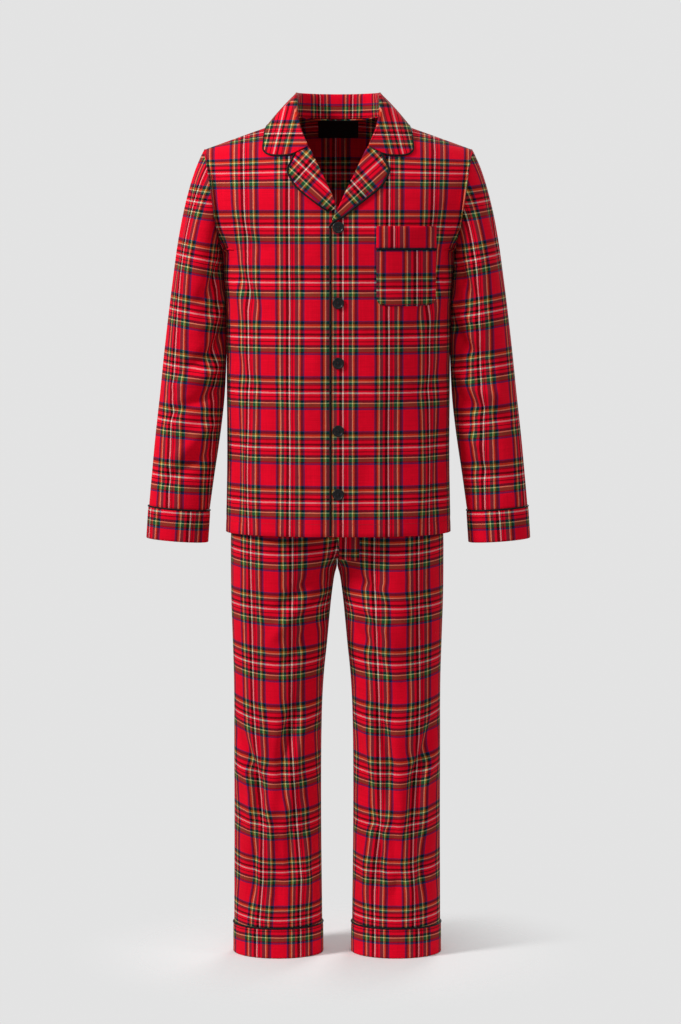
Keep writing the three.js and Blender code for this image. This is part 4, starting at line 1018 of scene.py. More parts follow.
# place is (round the sleeve from its outermost line, forwards is positive; up)
sleeveCreases = dict(
    left=[
        ([(150, -250), (120, -300), (84, -330)], 14, -5), ([(170, -300), (130, -352), (90, -372)], 13, 4),
        ([(168, -360), (128, -410), (70, -440)], 14, -6), ([(160, -420), (110, -452), (50, -470)], 13, 4.5),
        ([(158, -470), (104, -492), (40, -520)], 14, -6), ([(150, -520), (100, -560), (60, -600)], 13, 4),
        ([(140, -580), (96, -600), (40, -640)], 13, -4.5), ([(40, -120), (30, -200), (36, -280)], 15, -3),
        ([(-60, -140), (-70, -240), (-50, -330)], 16, -4),
        ([(-150, -280), (-100, -350), (-50, -400)], 15, -5),
        ([(-150, -380), (-110, -440), (-60, -480)], 15, 4),
        ([(-140, -470), (-90, -520), (-40, -560)], 15, -5),
        ([(-130, -560), (-80, -610), (-40, -650)], 14, 4),
    ],
    right=[
        ([(150, -240), (116, -296), (80, -340)], 14, -5), ([(172, -310), (126, -344), (84, -364)], 13, 4),
        ([(166, -350), (124, -398), (76, -424)], 14, -6), ([(158, -430), (112, -470), (56, -490)], 13, 4.5),
        ([(160, -480), (100, -506), (44, -540)], 14, -6), ([(148, -540), (98, -572), (56, -610)], 13, 4),
        ([(136, -590), (92, -616), (44, -650)], 13, -4.5), ([(44, -130), (28, -210), (34, -290)], 15, -3),
        ([(-56, -150), (-72, -250), (-54, -340)], 16, -4),
        ([(-152, -290), (-104, -340), (-46, -390)], 15, -5),
        ([(-148, -370), (-106, -430), (-64, -490)], 15, 4),
        ([(-142, -460), (-94, -530), (-44, -570)], 15, -5),
        ([(-126, -570), (-84, -600), (-36, -640)], 14, 4),
    ],
)
sleeveSteps = dict(rows=6, columns=4)
seamCalm = 34
sleeveTuck = dict(seam=1.3, underarm=5, height=9)
underarmPull = dict(wide=45, below=3, high=12, depth=2.4)


# length round each ring from its outermost line, with one more column where it closes
def roundLine(rings):
    lengths = runAcross(np.concatenate([rings, rings[:, :1]], 1))
    return lengths[:, [rings.shape[1] // 2]] - lengths


def sleevePlace(outer, side):
    around = roundLine(outer)
    capEnd = sleeve["capRows"] * sleeveSteps["rows"]
    around[:capEnd] = around[capEnd]
    closed = np.concatenate([outer, outer[:, :1]], 1)
    middle = outer[..., 0].mean(1, keepdims=True)
    slope = columnOf(sleeveSlope, "slope", closed[..., 2])
    down = -(closed[..., 2] - slope * np.abs(closed[..., 0]) + slope * np.abs(middle)) + sleeveCheck["down"]
    across = around - sleeveCheck["left"] if side == "left" else sleeveCheck["right"] - around
    return around, np.stack([across, down], -1)


sleevePoints = sleeveGrid(frontRightGrid, backPoints)
cuffCheck = dict(left=(61, -3.6), right=(77, -3.6))
piping = dict(radius=1.5, edgeShare=1.22, spread=1.75, ringSpread=0, lift=1.04)


# closed run of piping standing just outside a ring of cloth
def pipingLoop(name, ring, node):
    out = ring - ring.mean(0)
    out[:, 2] = 0
    out /= np.linalg.norm(out, axis=1)[:, None]
    line = ring + out * piping["ringSpread"] + np.array((0, 0, piping["lift"]))
    place(tubeMesh(name, line, piping["radius"], 10, closed=True), pipingBlack, "piping", node)


def bandPlace(outer, offset, sign):
    across = roundLine(outer) * sign
    closed = np.concatenate([outer, outer[:, :1]], 1)
    down = closed[0, :, 2] - closed[..., 2]
    return np.stack([across + offset[0], down + offset[1]], -1)


for side, sign in (("right", 1), ("left", -1)):
    coarse = sleevePoints if sign > 0 else mirror(sleevePoints)
    outer = refine(coarse, sleeveSteps["rows"], sleeveSteps["columns"], ring=True)
    normals = gridNormals(outer, True, sign > 0)
    around, place2d = sleevePlace(outer, side)
    fade = edgeFade(outer.shape[:2], bottom=10, top=5)
    nearSeam = np.abs(around).max(1, keepdims=True) - np.abs(around[:, :-1])
    fade = fade * creaseDepth["sleeve"] * np.clip(nearSeam / seamCalm, 0.06, 1)
    rise = creaseRise(sleeveCreases[side], around[:, :-1], outer[..., 2]) * fade
    outer = outer + normals * rise[..., None]
    normals = gridNormals(outer, True, sign > 0)
    outer = rollSeams(outer, normals, "bottom", "top")
    above = outer[..., 2] - body["underarm"]
    atUnderarm = (nearSeam / underarmPull["wide"]) ** 2
    atUnderarm = atUnderarm + ((above + underarmPull["below"]) / underarmPull["high"]) ** 2
    outer[..., 0] -= sign * underarmPull["depth"] * np.exp(-atUnderarm)
    tuck = outer[0] - outer[1]
    nearUnderarm = np.exp(-((above[0] / sleeveTuck["height"]) ** 2))
    reach = sleeveTuck["seam"] + sleeveTuck["underarm"] * nearUnderarm
    outer[0] += tuck * (reach / np.linalg.norm(tuck, axis=1))[:, None]
    piece = wallMesh("sleeve." + side, outer, normals, place2d, clothWall, ring=True)
    place(piece, flannel, "check_cloth", "sleeve_" + side)

    coarse = cuffGrid(sleevePoints) - np.array((0, 0, 0.3))
    outer = refine(coarse if sign > 0 else mirror(coarse), 7, sleeveSteps["columns"], ring=True)
    normals = gridNormals(outer, True, sign > 0)
    place2d = bandPlace(outer, cuffCheck[side], -sign)
    outer = rollSeams(outer, normals, "bottom")
    piece = wallMesh("cuff." + side, outer, normals, place2d, 1.9, ring=True)
    place(piece, flannel, "check_cloth", "cuff_" + side)
    pipingLoop("cuff.piping." + side, outer[0], "cuff_piping_" + side)
print("sleeves and cuffs ready")

# trousers
legSteps = dict(rows=7, columns=6)
# cloth repeats down the front of a leg: the white line of each, and how much higher it lies at the sides
legRun = [
    ("z", "line", "sag"), (-480, -2.93, 6), (-756.4, 0, 7), (-850.9, 1, 6), (-950, 2, 11), (-1049.3, 3, 15),
    (-1143.8, 4, 13), (-1235.5, 5, 12), (-1318, 6, 10), (-1403, 7, 7), (-1425, 7.26, 7),
]
# two neighbouring white lines down the front of each leg, from left to right
legLines = dict(
    left=[
        ("z", "first", "second"), (-783, -153.1, -80.5), (-1010, -149, -82.9), (-1082, -145.5, -82.7),
        (-1232, -132, -73.6), (-1331, -133, -66), (-1381, -137, -67.7), (-1405, -139, -67.7),
    ],
    right=[
        ("z", "first", "second"), (-783, 61.2, 138.6), (-1010, 70.1, 141.3), (-1082, 71.2, 140),
        (-1232, 73.6, 130.8), (-1306, 65, 129.6), (-1356, 62.6, 132.9), (-1405, 62.6, 133),
    ],
)
legBackAcross = 30
# place is (from the trousers' middle outwards; up)
legCreases = dict(
    left=[
        ([(20, -792), (60, -812), (104, -858)], 13, -5), ([(26, -826), (70, -856), (120, -912)], 14, 4),
        ([(24, -868), (60, -906), (92, -960)], 14, -4), ([(150, -800), (140, -880), (130, -960)], 18, -3),
        ([(64, -1000), (84, -1060), (98, -1120), (92, -1190)], 12, -7),
        ([(52, -1030), (66, -1090), (78, -1160)], 11, 4.5),
        ([(176, -1060), (158, -1110), (140, -1160), (136, -1240)], 13, -8),
        ([(168, -1120), (150, -1180), (152, -1260)], 11, 5),
        ([(116, -1150), (118, -1230), (112, -1320)], 13, 4),
        ([(66, -1180), (82, -1250), (80, -1340)], 11, -6),
        ([(140, -1250), (150, -1310), (146, -1390)], 11, -5),
        ([(48, -1240), (56, -1310), (50, -1390)], 11, 4),
        ([(120, -1300), (104, -1350), (100, -1398)], 12, -4),
    ],
    right=[
        ([(22, -788), (62, -820), (100, -872)], 13, -5), ([(28, -836), (66, -862), (112, -930)], 14, 4),
        ([(26, -880), (58, -920), (88, -980)], 14, -4), ([(156, -790), (144, -870), (138, -950)], 18, -3),
        ([(60, -1010), (80, -1070), (92, -1130), (84, -1220)], 12, -7),
        ([(48, -1050), (60, -1110), (70, -1180)], 11, 4.5),
        ([(176, -1040), (160, -1090), (138, -1150), (130, -1250)], 13, -8),
        ([(170, -1100), (152, -1170), (154, -1250)], 11, 5),
        ([(112, -1160), (110, -1240), (116, -1330)], 13, 4),
        ([(62, -1210), (76, -1280), (72, -1350)], 11, -6),
        ([(144, -1240), (150, -1320), (142, -1396)], 11, -5),
        ([(46, -1260), (52, -1330), (48, -1395)], 11, 4),
        ([(116, -1310), (100, -1356), (104, -1400)], 12, -4),
    ],
    back=[
        ([(24, -800), (70, -830), (130, -850)], 14, -6), ([(28, -838), (80, -872), (140, -900)], 15, 4.5),
        ([(40, -900), (90, -940), (120, -1000)], 16, -4),
        ([(150, -900), (130, -980), (120, -1060)], 17, 3.5),
        ([(60, -1040), (100, -1070), (150, -1080)], 14, -6),
        ([(56, -1090), (104, -1110), (160, -1140)], 13, 4.5),
        ([(52, -1140), (90, -1180), (130, -1190)], 14, -5),
        ([(150, -1180), (120, -1240), (90, -1330)], 14, -4),
        ([(70, -1240), (96, -1300), (120, -1380)], 13, 4),
        ([(140, -1280), (150, -1340), (144, -1398)], 13, -4),
    ],
)


def atCentreSeam(edge, neighbour):
    ghost = neighbour * np.array((1, -1, 1))
    above = edge[:, 2:] > legs["crotch"]
    return np.where(above, neighbour * np.array((-1, 1, 1)), ghost)


def legPlace(outer, panel, side):
    own = outer[..., 0] - legs["middle"]
    z = outer[..., 2]
    lengths = runAcross(outer)
    full = columnOf(legTable, "full", z[:, :1])
    outerHalf = columnOf(legTable, "outer", z) - full
    aside = np.clip((np.abs(own) - full) / np.where(np.abs(own) > full, outerHalf, full), -1, 1) ** 2
    aside = aside if panel == "front" else np.ones_like(aside)
    height = z - columnOf(legRun, "sag", z) * aside
    down = columnOf(legRun, "line", height) * check["repeatDown"]
    sign = 1 if side == "right" else -1
    if panel == "back":
        middle = lengths[:, [lengths.shape[1] // 2]]
        return np.stack([sign * (lengths - middle) + legBackAcross, down], -1)
    across = np.empty_like(lengths)
    for row in range(len(outer)):
        x = outer[row, :, 0] * sign
        level = z[row, 0]
        ends = [columnOf(legLines[side], name, level) * sign for name in ("first", "second")]
        first, second = [np.interp(end, x, lengths[row]) for end in ends]
        run = lengths[row]
        if sign > 0:
            inside = (run - first) / (second - first) * check["repeatAcross"]
            past = check["repeatAcross"] + run - second
            across[row] = np.where(run < first, run - first, np.where(run > second, past, inside))
        else:
            inside = (first - run) / (first - second) * check["repeatAcross"]
            past = check["repeatAcross"] + second - run
            across[row] = np.where(run > first, first - run, np.where(run < second, past, inside))
    return np.stack([across, down], -1)


for side, sign in (("right", 1), ("left", -1)):
    for panel in ("front", "back"):
        coarse = legGrid(panel)
        outer = refine(coarse, legSteps["rows"], legSteps["columns"], start=atCentreSeam, end=acrossSeam)
        flip = panel == "front"
        normals = gridNormals(outer, False, flip)
        creases = legCreases["back" if panel == "back" else side]
        fade = edgeFade(outer.shape[:2], 8, 8, 4, 10) * creaseDepth["leg"]
        rise = creaseRise(creases, outer[..., 0], outer[..., 2]) * fade
        outer = outer + normals * rise[..., None]
        outer = outer if sign > 0 else mirror(outer)
        flip = flip if sign > 0 else not flip
        outer = atTrousers(outer)
        normals = gridNormals(outer, False, flip)
        place2d = legPlace(outer, panel, side)
        outer = rollSeams(outer, normals, "start", "end")
        if panel == "front":
            surfaces["leg_" + side] = Surface(outer)
        piece = wallMesh(f"leg.{panel}.{side}", outer, normals, place2d, clothWall)
        place(piece, flannel, "check_cloth", f"leg_{panel}_{side}")

waist = dict(pleats=11, pleatDepth=1.1, spread=0.6)
levels = [legs["waist"] - legs["waistband"] + 0.3, legs["waist"] - legs["waistband"] / 2, legs["waist"]]
outer = refine(atTrousers([waistRing(z) for z in levels]), 6, 8, ring=True)
normals = gridNormals(outer, True, False)
around = roundLine(outer)
gathers = np.sin(2 * math.pi * around / waist["pleats"] + 1.7 * np.sin(around / 37)) * waist["pleatDepth"]
outer = outer + normals * (waist["spread"] + gathers[:, :-1])[..., None]
normals = gridNormals(outer, True, False)
place2d = np.stack([around, np.repeat(-outer[:, :1, 2], around.shape[1], 1)], -1)
piece = wallMesh("waistband.casing", outer, normals, place2d, 2, ring=True)
place(piece, flannel, "check_cloth", "waistband")

hemCheck = dict(left=(0, 3.5), right=(0, 3.5))
for side, sign in (("right", 1), ("left", -1)):
    levels = [legs["hemSeam"] - 0.3, (legs["hemSeam"] + legs["end"]) / 2, legs["end"]]
    coarse = np.array([legRing(z, legs["hemSpread"]) for z in levels])
    outer = refine(atTrousers(coarse if sign > 0 else mirror(coarse)), 7, 6, ring=True)
    normals = gridNormals(outer, True, sign > 0)
    around, closed = roundLine(outer), np.concatenate([outer, outer[:, :1]], 1)
    down = closed[0, :, 2] - closed[..., 2]
    place2d = np.stack([hemCheck[side][0] - sign * around, hemCheck[side][1] + down], -1)
    outer = rollSeams(outer, normals, "bottom")
    piece = wallMesh("hem." + side, outer, normals, place2d, 1.9, ring=True)
    place(piece, flannel, "check_cloth", "hem_" + side)
    pipingLoop("hem.piping." + side, outer[0], "hem_piping_" + side)
print("trousers ready")

# collar: seam, stand, turned fold and fall in one
collarLook = dict(steps=8, across=4, wall=1.8, checkAcross=34, checkDown=47)
# where two white lines cross on a leaf, how far the one down it leans out, and cloth on a slope
leafCheck = dict(x=101.5, z=-33, lean=0.235, slope=1.12, front=-25, behind=25)
stations = collarGrid()
outer = refine(stations, collarLook["steps"], collarLook["across"])
normals = gridNormals(outer, False, False)
foldColumn = 3 * collarLook["across"]
outer = outer + normals * (collarLook["wall"] / 2)
across = runAcross(outer)
along = runAlong(outer[:, foldColumn + 12])
along -= along[len(along) // 2]
alongCollar = np.repeat(along[:, None], across.shape[1], 1) - collarLook["checkAcross"]
acrossCollar = across - across[:, [foldColumn]] + collarLook["checkDown"]
share = np.clip((leafCheck["behind"] - outer[:, :, 1]) / (leafCheck["behind"] - leafCheck["front"]), 0, 1)
share = (share * share * (3 - 2 * share))[:, -1:]
outwards, up = np.abs(outer[..., 0]) - leafCheck["x"], outer[..., 2] - leafCheck["z"]
downLeaf = -up * leafCheck["slope"] * np.sign(along)[:, None]
acrossLeaf = outwards + up * leafCheck["lean"]
place2d = np.stack([lerp(alongCollar, downLeaf, share), lerp(acrossCollar, acrossLeaf, share)], -1)
piece = wallMesh("collar.fold", outer, normals, place2d, collarLook["wall"])
place(piece, flannel, "check_cloth", "collar")

edge = stations[:, -1]
along = np.gradient(edge, axis=0)
along /= np.linalg.norm(along, axis=1)[:, None]
out = edge - stations[:, -2]
out -= along * (out * along).sum(1)[:, None]
out /= np.linalg.norm(out, axis=1)[:, None]
line = edge + out * piping["spread"]
line[0, 0] -= piping["radius"]
line[-1, 0] += piping["radius"]
collarEdge = curveThrough(line, 2.5)
place(tubeMesh("collar.piping", collarEdge, piping["radius"]), pipingBlack, "piping", "collar_piping")
print("collar ready")

# pieces laid on a panel: rows of (x, z) places on it
applied = dict(lift=0.3, wall=1.4, pressedEdge=0.7, edgeReach=2.5)


def layOn(surface, places, forward=True, wall=None, lift=None):
    wall = applied["wall"] if wall is None else wall
    lift = applied["lift"] if lift is None else lift
    rows, columns = places.shape[:2]
    outer = np.empty((rows, columns, 3))
    for r in range(rows):
        for c in range(columns):
            outer[r, c] = surface.at(places[r, c, 0], places[r, c, 1], lift + wall, forward)[0]
    gap = np.full((rows, columns), 99.0)
    for axis, reverse in ((0, False), (0, True), (1, False), (1, True)):
        lines = np.flip(places, axis) if reverse else places
        steps = np.linalg.norm(np.diff(lines, axis=axis), axis=2)
        run = np.concatenate([np.zeros_like(np.take(steps, [0], axis)), np.cumsum(steps, axis)], axis)
        gap = np.minimum(gap, np.flip(run, axis) if reverse else run)
    return outer, applied["pressedEdge"] * np.exp(-((gap / applied["edgeReach"]) ** 2))


# pocket and its band
pocket = dict(left=66, right=168, top=-190.5, bottom=-326, corner=17, seam=-229)
pocketCheck = dict(across=133.5, down=-297.5, bandAcross=94, bandDown=-159.5)


def addApplied(name, node, surface, places, check2d, forward=True, wall=None):
    outer, drop = layOn(surface, places, forward, wall)
    normals = gridNormals(outer, False, False)
    if (normals[..., 1].mean() > 0) == forward:
        normals = -normals
    outer = outer - normals * drop[..., None]
    piece = wallMesh(name, outer, normals, check2d, (applied["wall"] if wall is None else wall) - 0.1)
    place(piece, flannel, "check_cloth", node)
    return piece


def pocketPlaces(low, high, rows, columns):
    places = np.empty((rows, columns, 2))
    for r, z in enumerate(np.linspace(low, high, rows)):
        t = 0
        if low == pocket["bottom"]:
            t = 1 - math.sqrt(min(1, (z - low) / pocket["corner"]))
        inset = pocket["corner"] * t * t
        places[r, :, 0] = np.linspace(pocket["left"] + inset, pocket["right"] - inset, columns)
        places[r, :, 1] = z
    return places


gap = piping["radius"] + 0.3
places = pocketPlaces(pocket["bottom"], pocket["seam"] - gap, 44, 34)
check2d = np.stack([places[..., 0] - pocketCheck["across"], pocketCheck["down"] - places[..., 1]], -1)
piece = addApplied("pocket.bag", "pocket", surfaces["front_right"], places, check2d)
places = pocketPlaces(pocket["seam"] + gap, pocket["top"], 16, 34)
bandAcross, bandDown = pocketCheck["bandAcross"], pocketCheck["bandDown"]
check2d = np.stack([places[..., 0] - bandAcross, bandDown - places[..., 1]], -1)
piece = addApplied("pocket.band", "pocket_band", surfaces["front_right"], places, check2d, wall=2)
seamXs = np.linspace(pocket["left"] + 0.4, pocket["right"] - 0.4, 40)
line = [surfaces["front_right"].at(x, pocket["seam"], 1.6)[0] for x in seamXs]
place(tubeMesh("pocket.piping", line, piping["radius"] * 1.15), pipingBlack, "piping", "pocket_piping")
print("pocket ready")

# lapels: the front turns over its roll line and lies back on itself
lapel = dict(
    rows=64, columns=26, rollColumns=8, rollHalf=2.1, high=4.4, low=1.9, settle=0.45, puff=1.6, wall=1.3,
    checkTurn=42,
)
lapelEdge = [(72.3, -66), (80.5, -83), (84.4, -90), (85, -97), (81, -106), (68.3, -124.4), (32.9, -152.4)]
lapelTips = dict(right=[(8.7, -171.6), (-10.5, -181)], left=[(15, -163), (5, -159.5)])
lapelRoll = dict(
    right=[(52.5, -54.6), (45.5, -67), (34.6, -90), (23.6, -112), (12, -136), (1, -160), (-10.5, -181)],
    left=[(52.5, -54.6), (45.5, -67), (34.6, -90), (23.6, -112), (13.5, -134), (4, -155)],
)
lapelCheck = dict(right=(20, 10), left=(20, 10))


def evenly(points, count):
    points = curveThrough(points, 1)
    lengths = runAlong(points)
    wanted = np.linspace(0, lengths[-1], count)
    return np.stack([np.interp(wanted, lengths, points[:, k]) for k in range(2)], 1)


def makeLapel(side, sign):
    surface = surfaces["front_" + side]
    roll = evenly(lapelRoll[side], lapel["rows"])
    edge = evenly(lapelEdge + lapelTips[side], lapel["rows"])
    grid = np.empty((lapel["rows"], lapel["rollColumns"] + lapel["columns"], 3))
    check2d = np.empty((*grid.shape[:2], 2))
    turn = math.radians(lapel["checkTurn"])
    for r in range(lapel["rows"]):
        a, b = roll[r], edge[r]
        width = np.linalg.norm(b - a)
        if width > 0.5:
            inwards = (a - b) / width
        inset = min(1, width / 12)
        start, normal = surface.at(sign * (a[0] - inwards[0] * 1.5), a[1] - inwards[1] * 1.5)
        away = np.array((sign * inwards[0], 0, inwards[1]))
        away = away - normal * away.dot(normal)
        away /= np.linalg.norm(away)
        start = start + away * 1.5
        half = lapel["rollHalf"] * inset
        for k in range(lapel["rollColumns"]):
            angle = math.pi * (k / (lapel["rollColumns"] - 1) - 0.5)
            grid[r, k] = start + normal * half * (1 + math.sin(angle)) + away * half * math.cos(angle)
        for k in range(lapel["columns"]):
            t = (k + 1) / lapel["columns"]
            spot = a + (b - a) * t
            fall = 1 - (1 - min(1, t / lapel["settle"])) ** 2
            puff = lapel["puff"] * math.sin(math.pi * t) * inset * 0.6
            lift = lerp(lapel["high"] * inset, lapel["low"], fall) + puff
            lift -= 0.6 * max(0, (t - 0.92) / 0.08) ** 2
            grid[r, lapel["rollColumns"] + k] = surface.at(sign * spot[0], spot[1], lift)[0]
    flatX, flatZ = grid[..., 0], grid[..., 2]
    offset = lapelCheck[side]
    tilt = turn * sign
    check2d[..., 0] = flatX * math.cos(tilt) + flatZ * math.sin(tilt) - offset[0]
    check2d[..., 1] = flatX * math.sin(tilt) - flatZ * math.cos(tilt) - offset[1]
    normals = gridNormals(grid, False, False)
    if normals[:, -6:, 1].mean() > 0:
        normals = -normals
    piece = wallMesh("lapel." + side, grid, normals, check2d, lapel["wall"])
    place(piece, flannel, "check_cloth", "lapel_" + side)
    return surface


# places moved aside from a line, to its left as it runs
def beside(points, distance):
    points = np.asarray(points, float)
    along = np.gradient(points, axis=0)
    along /= np.linalg.norm(along, axis=1)[:, None]
    return points + np.stack([-along[:, 1], along[:, 0]], 1) * distance


for side, sign in (("right", 1), ("left", -1)):
    surface = makeLapel(side, sign)
    tip = [(8.7, -171.6)] if side == "right" else [(16, -163)]
    run = beside(curveThrough(lapelEdge + tip, 2.5), 1.5)
    line = [surface.at(sign * x, z, 1.9 if side == "right" else 2.4)[0] for x, z in run]
    if side == "right":
        frontEdgeX = -body["lap"] - 1.4
        line.append(surface.at(-6, -181, 2.0)[0])
        for z in np.arange(-189, body["hem"], -6.0):
            spot = surface.at(-body["lap"] + 0.6, z, 0)[0]
            line.append(np.array((frontEdgeX, spot[1] - 0.2, z)))
        line.append(np.array((frontEdgeX, line[-1][1], body["hem"] + 1)))
        line = curveThrough(line, 2.5)
    thick = piping["radius"] * (piping["edgeShare"] if side == "right" else 1)
    place(tubeMesh("lapel.piping." + side, line, thick), pipingBlack, "piping", "lapel_piping_" + side)
print("lapels ready")

# buttons: dished, with four holes and crossed thread
button = dict(hole=0.95, holeAt=2.1, levels=(-192, -321, -424, -540.5, -650))
# its section: radius, height
buttonProfile = [
    (0, 0.2), (7.4, 0), (8.8, 0.15), (9.7, 0.8), (10, 1.5), (10, 2.2), (9.7, 2.9), (9.1, 3.3), (8.3, 3.4),
    (7.7, 3.15), (7.2, 2.7), (6.4, 2.5), (0, 2.4),
]


def buttonMesh(name):
    form = bmesh.new()
    sides = 48
    rings = []
    for radius, height in buttonProfile:
        if radius == 0:
            rings.append([form.verts.new((0, 0, height * mm))] * sides)
            continue
        turns = [2 * math.pi * i / sides for i in range(sides)]
        ring = [(radius * mm * math.cos(t), radius * mm * math.sin(t), height * mm) for t in turns]
        rings.append([form.verts.new(spot) for spot in ring])
    for low, high in zip(rings, rings[1:]):
        for i in range(sides):
            k = (i + 1) % sides
            corners = dict.fromkeys([low[i], low[k], high[k], high[i]])
            form.faces.new(list(corners))
    bmesh.ops.recalc_face_normals(form, faces=form.faces)
    mesh = bpy.data.meshes.new(name)
    form.to_mesh(mesh)
    form.free()
    return mesh


def drillMesh():
    form = bmesh.new()
    hole, holeAt = button["hole"] * mm, button["holeAt"] * mm
    for x, y in ((1, 1), (1, -1), (-1, 1), (-1, -1)):
        made = bmesh.ops.create_cone(
            form, cap_ends=True, segments=16, radius1=hole, radius2=hole, depth=12 * mm,
        )
        bmesh.ops.translate(form, verts=made["verts"], vec=(x * holeAt, y * holeAt, 0))
    mesh = bpy.data.meshes.new("drill")
    form.to_mesh(mesh)
    form.free()
    return mesh


blank = bpy.data.objects.new("button.blank", buttonMesh("button.blank"))
drill = bpy.data.objects.new("drill", drillMesh())
scene.collection.objects.link(blank)
scene.collection.objects.link(drill)
cut = blank.modifiers.new("holes", "BOOLEAN")
cut.operation, cut.object, cut.solver = "DIFFERENCE", drill, "EXACT"
bpy.context.view_layer.update()
drilled = bpy.data.meshes.new_from_object(blank.evaluated_get(bpy.context.evaluated_depsgraph_get()))
for helper in (blank, drill):
    bpy.data.objects.remove(helper)
layer = drilled.uv_layers.new(name="cloth") if not drilled.uv_layers else drilled.uv_layers[0]
layer.name = "cloth"
for loop in drilled.loops:
    layer.data[loop.index].uv = drilled.vertices[loop.vertex_index].co[:2]
for face in drilled.polygons:
    face.use_smooth = True
drilled.set_sharp_from_angle(angle=math.radians(42))


def threadBars():
    bars = []
    for offset in (-0.36, 0.36):
        for a, b in (((-1, -1), (1, 1)), ((-1, 1), (1, -1))):
            side = np.array((-(b[1] - a[1]), b[0] - a[0])) / 2.83 * offset * 2
            line = []
            for t in np.linspace(0, 1, 9):
                xy = lerp(np.array(a), np.array(b), t) * button["holeAt"] + side
                line.append((xy[0], xy[1], 2.0 + 1.15 * math.sin(math.pi * t) ** 0.5))
            bars.append(line)
    return bars


def joined(name, pieces):
    form = bmesh.new()
    for piece in pieces:
        form.from_mesh(piece.data)
        bpy.data.objects.remove(piece)
    mesh = bpy.data.meshes.new(name)
    form.to_mesh(mesh)
    form.free()
    mesh.polygons.foreach_set("use_smooth", [True] * len(mesh.polygons))
    piece = bpy.data.objects.new(name, mesh)
    scene.collection.objects.link(piece)
    return piece


threads = joined("thread", [tubeMesh("bar", bar, 0.3, 6) for bar in threadBars()])
for n, z in enumerate(button["levels"]):
    spot, normal = surfaces["front_right"].at(0, z, 0.6)
    turn = Vector((0, 0, 1)).rotation_difference(Vector(normal)).to_matrix().to_4x4()
    turn.translation = Vector(spot) * mm
    for base, mesh, material, slot in (
        ("button", drilled, buttonFinish, "button"), ("button.thread", threads.data, blackThread, "button"),
    ):
        own = mesh.copy()
        own.transform(turn)
        piece = bpy.data.objects.new(f"{base}.{n + 1}", own)
        scene.collection.objects.link(piece)
        if base == "button":
            place(piece, material, slot, f"button_{n + 1}")
        else:
            place(piece, material, slot)
bpy.data.objects.remove(threads)
print("buttons ready")

# neck label and mock fly
label = dict(half=35, top=-5, bottom=-34, wall=0.8)
labelXs = np.linspace(-label["half"], label["half"], 29)
xs, zs = np.meshgrid(labelXs, np.linspace(label["bottom"], label["top"], 13))
places = np.stack([xs, zs], -1)
outer, drop = layOn(surfaces["back"], places, True, label["wall"], 0.3)
normals = gridNormals(outer, False, False)
piece = wallMesh("neck.label", outer - normals * drop[..., None] * 0.5, normals, places, label["wall"])
place(piece, labelFinish, "label", "neck_label")

fly = dict(left=2, right=36, top=-560, bottom=-768, checkAcross=12, checkDown=-775)
xs, zs = np.meshgrid(np.linspace(fly["left"], fly["right"], 14), np.linspace(fly["bottom"], fly["top"], 60))
places = np.stack([xs, zs], -1)
check2d = np.stack([xs - fly["checkAcross"], fly["checkDown"] - zs], -1)
piece = addApplied("fly.panel", "fly", surfaces["leg_right"], places, check2d)
print("label and fly ready")

# lines of stitches, each a small rounded bar
stitch = dict(length=2.5, pitch=3.4, radius=0.3, sides=6, rise=0.15)


def stitchRun(name, line, normals, material, slot):
    line, normals = np.asarray(line, float), np.asarray(normals, float)
    lengths = runAlong(line)
    starts = np.arange(stitch["pitch"] / 2, lengths[-1] - stitch["length"], stitch["pitch"])
    turns = 2 * math.pi * np.arange(stitch["sides"]) / stitch["sides"]
    verts, faces = [], []

    def spotAt(run):
        return np.array([np.interp(run, lengths, line[:, k]) for k in range(3)])

    for start in starts:
        a, b = spotAt(start), spotAt(start + stitch["length"])
        normal = normals[min(len(normals) - 1, int(np.searchsorted(lengths, start)))]
        along = (b - a) / np.linalg.norm(b - a)
        side = np.cross(along, normal)
        side /= np.linalg.norm(side)
        base = len(verts)
        for share, size in ((0, 0.35), (0.16, 0.9), (0.5, 1.05), (0.84, 0.9), (1, 0.35)):
            middle = a + (b - a) * share + normal * stitch["rise"] * math.sin(math.pi * share)
            for turn in turns:
                out = side * math.cos(turn) + normal * math.sin(turn)
                verts.append(middle + out * stitch["radius"] * size)
        for ring in range(4):
            for k in range(stitch["sides"]):
                m = (k + 1) % stitch["sides"]
                low, high = base + ring * stitch["sides"], base + (ring + 1) * stitch["sides"]
                faces.append((low + k, low + m, high + m, high + k))
        faces.append(tuple(range(base, base + stitch["sides"]))[::-1])
        faces.append(tuple(range(base + 4 * stitch["sides"], base + 5 * stitch["sides"])))
    mesh = bpy.data.meshes.new(name)
    mesh.from_pydata((np.array(verts) * mm).tolist(), [], faces)
    layer = mesh.uv_layers.new(name="cloth")
    spots = np.array([mesh.vertices[loop.vertex_index].co[:] for loop in mesh.loops])
    layer.data.foreach_set("uv", spots[:, [0, 2]].astype(np.float32).ravel())
    return place(finishMesh(name, mesh), material, slot)


def stitchOn(name, surface, places, lift=0.15, forward=True, material=None):
    spots = [surface.at(x, z, lift, forward) for x, z in places]
    line, normals = [s[0] for s in spots], [s[1] for s in spots]
    return stitchRun(name, line, normals, material or redThread, "check_cloth")


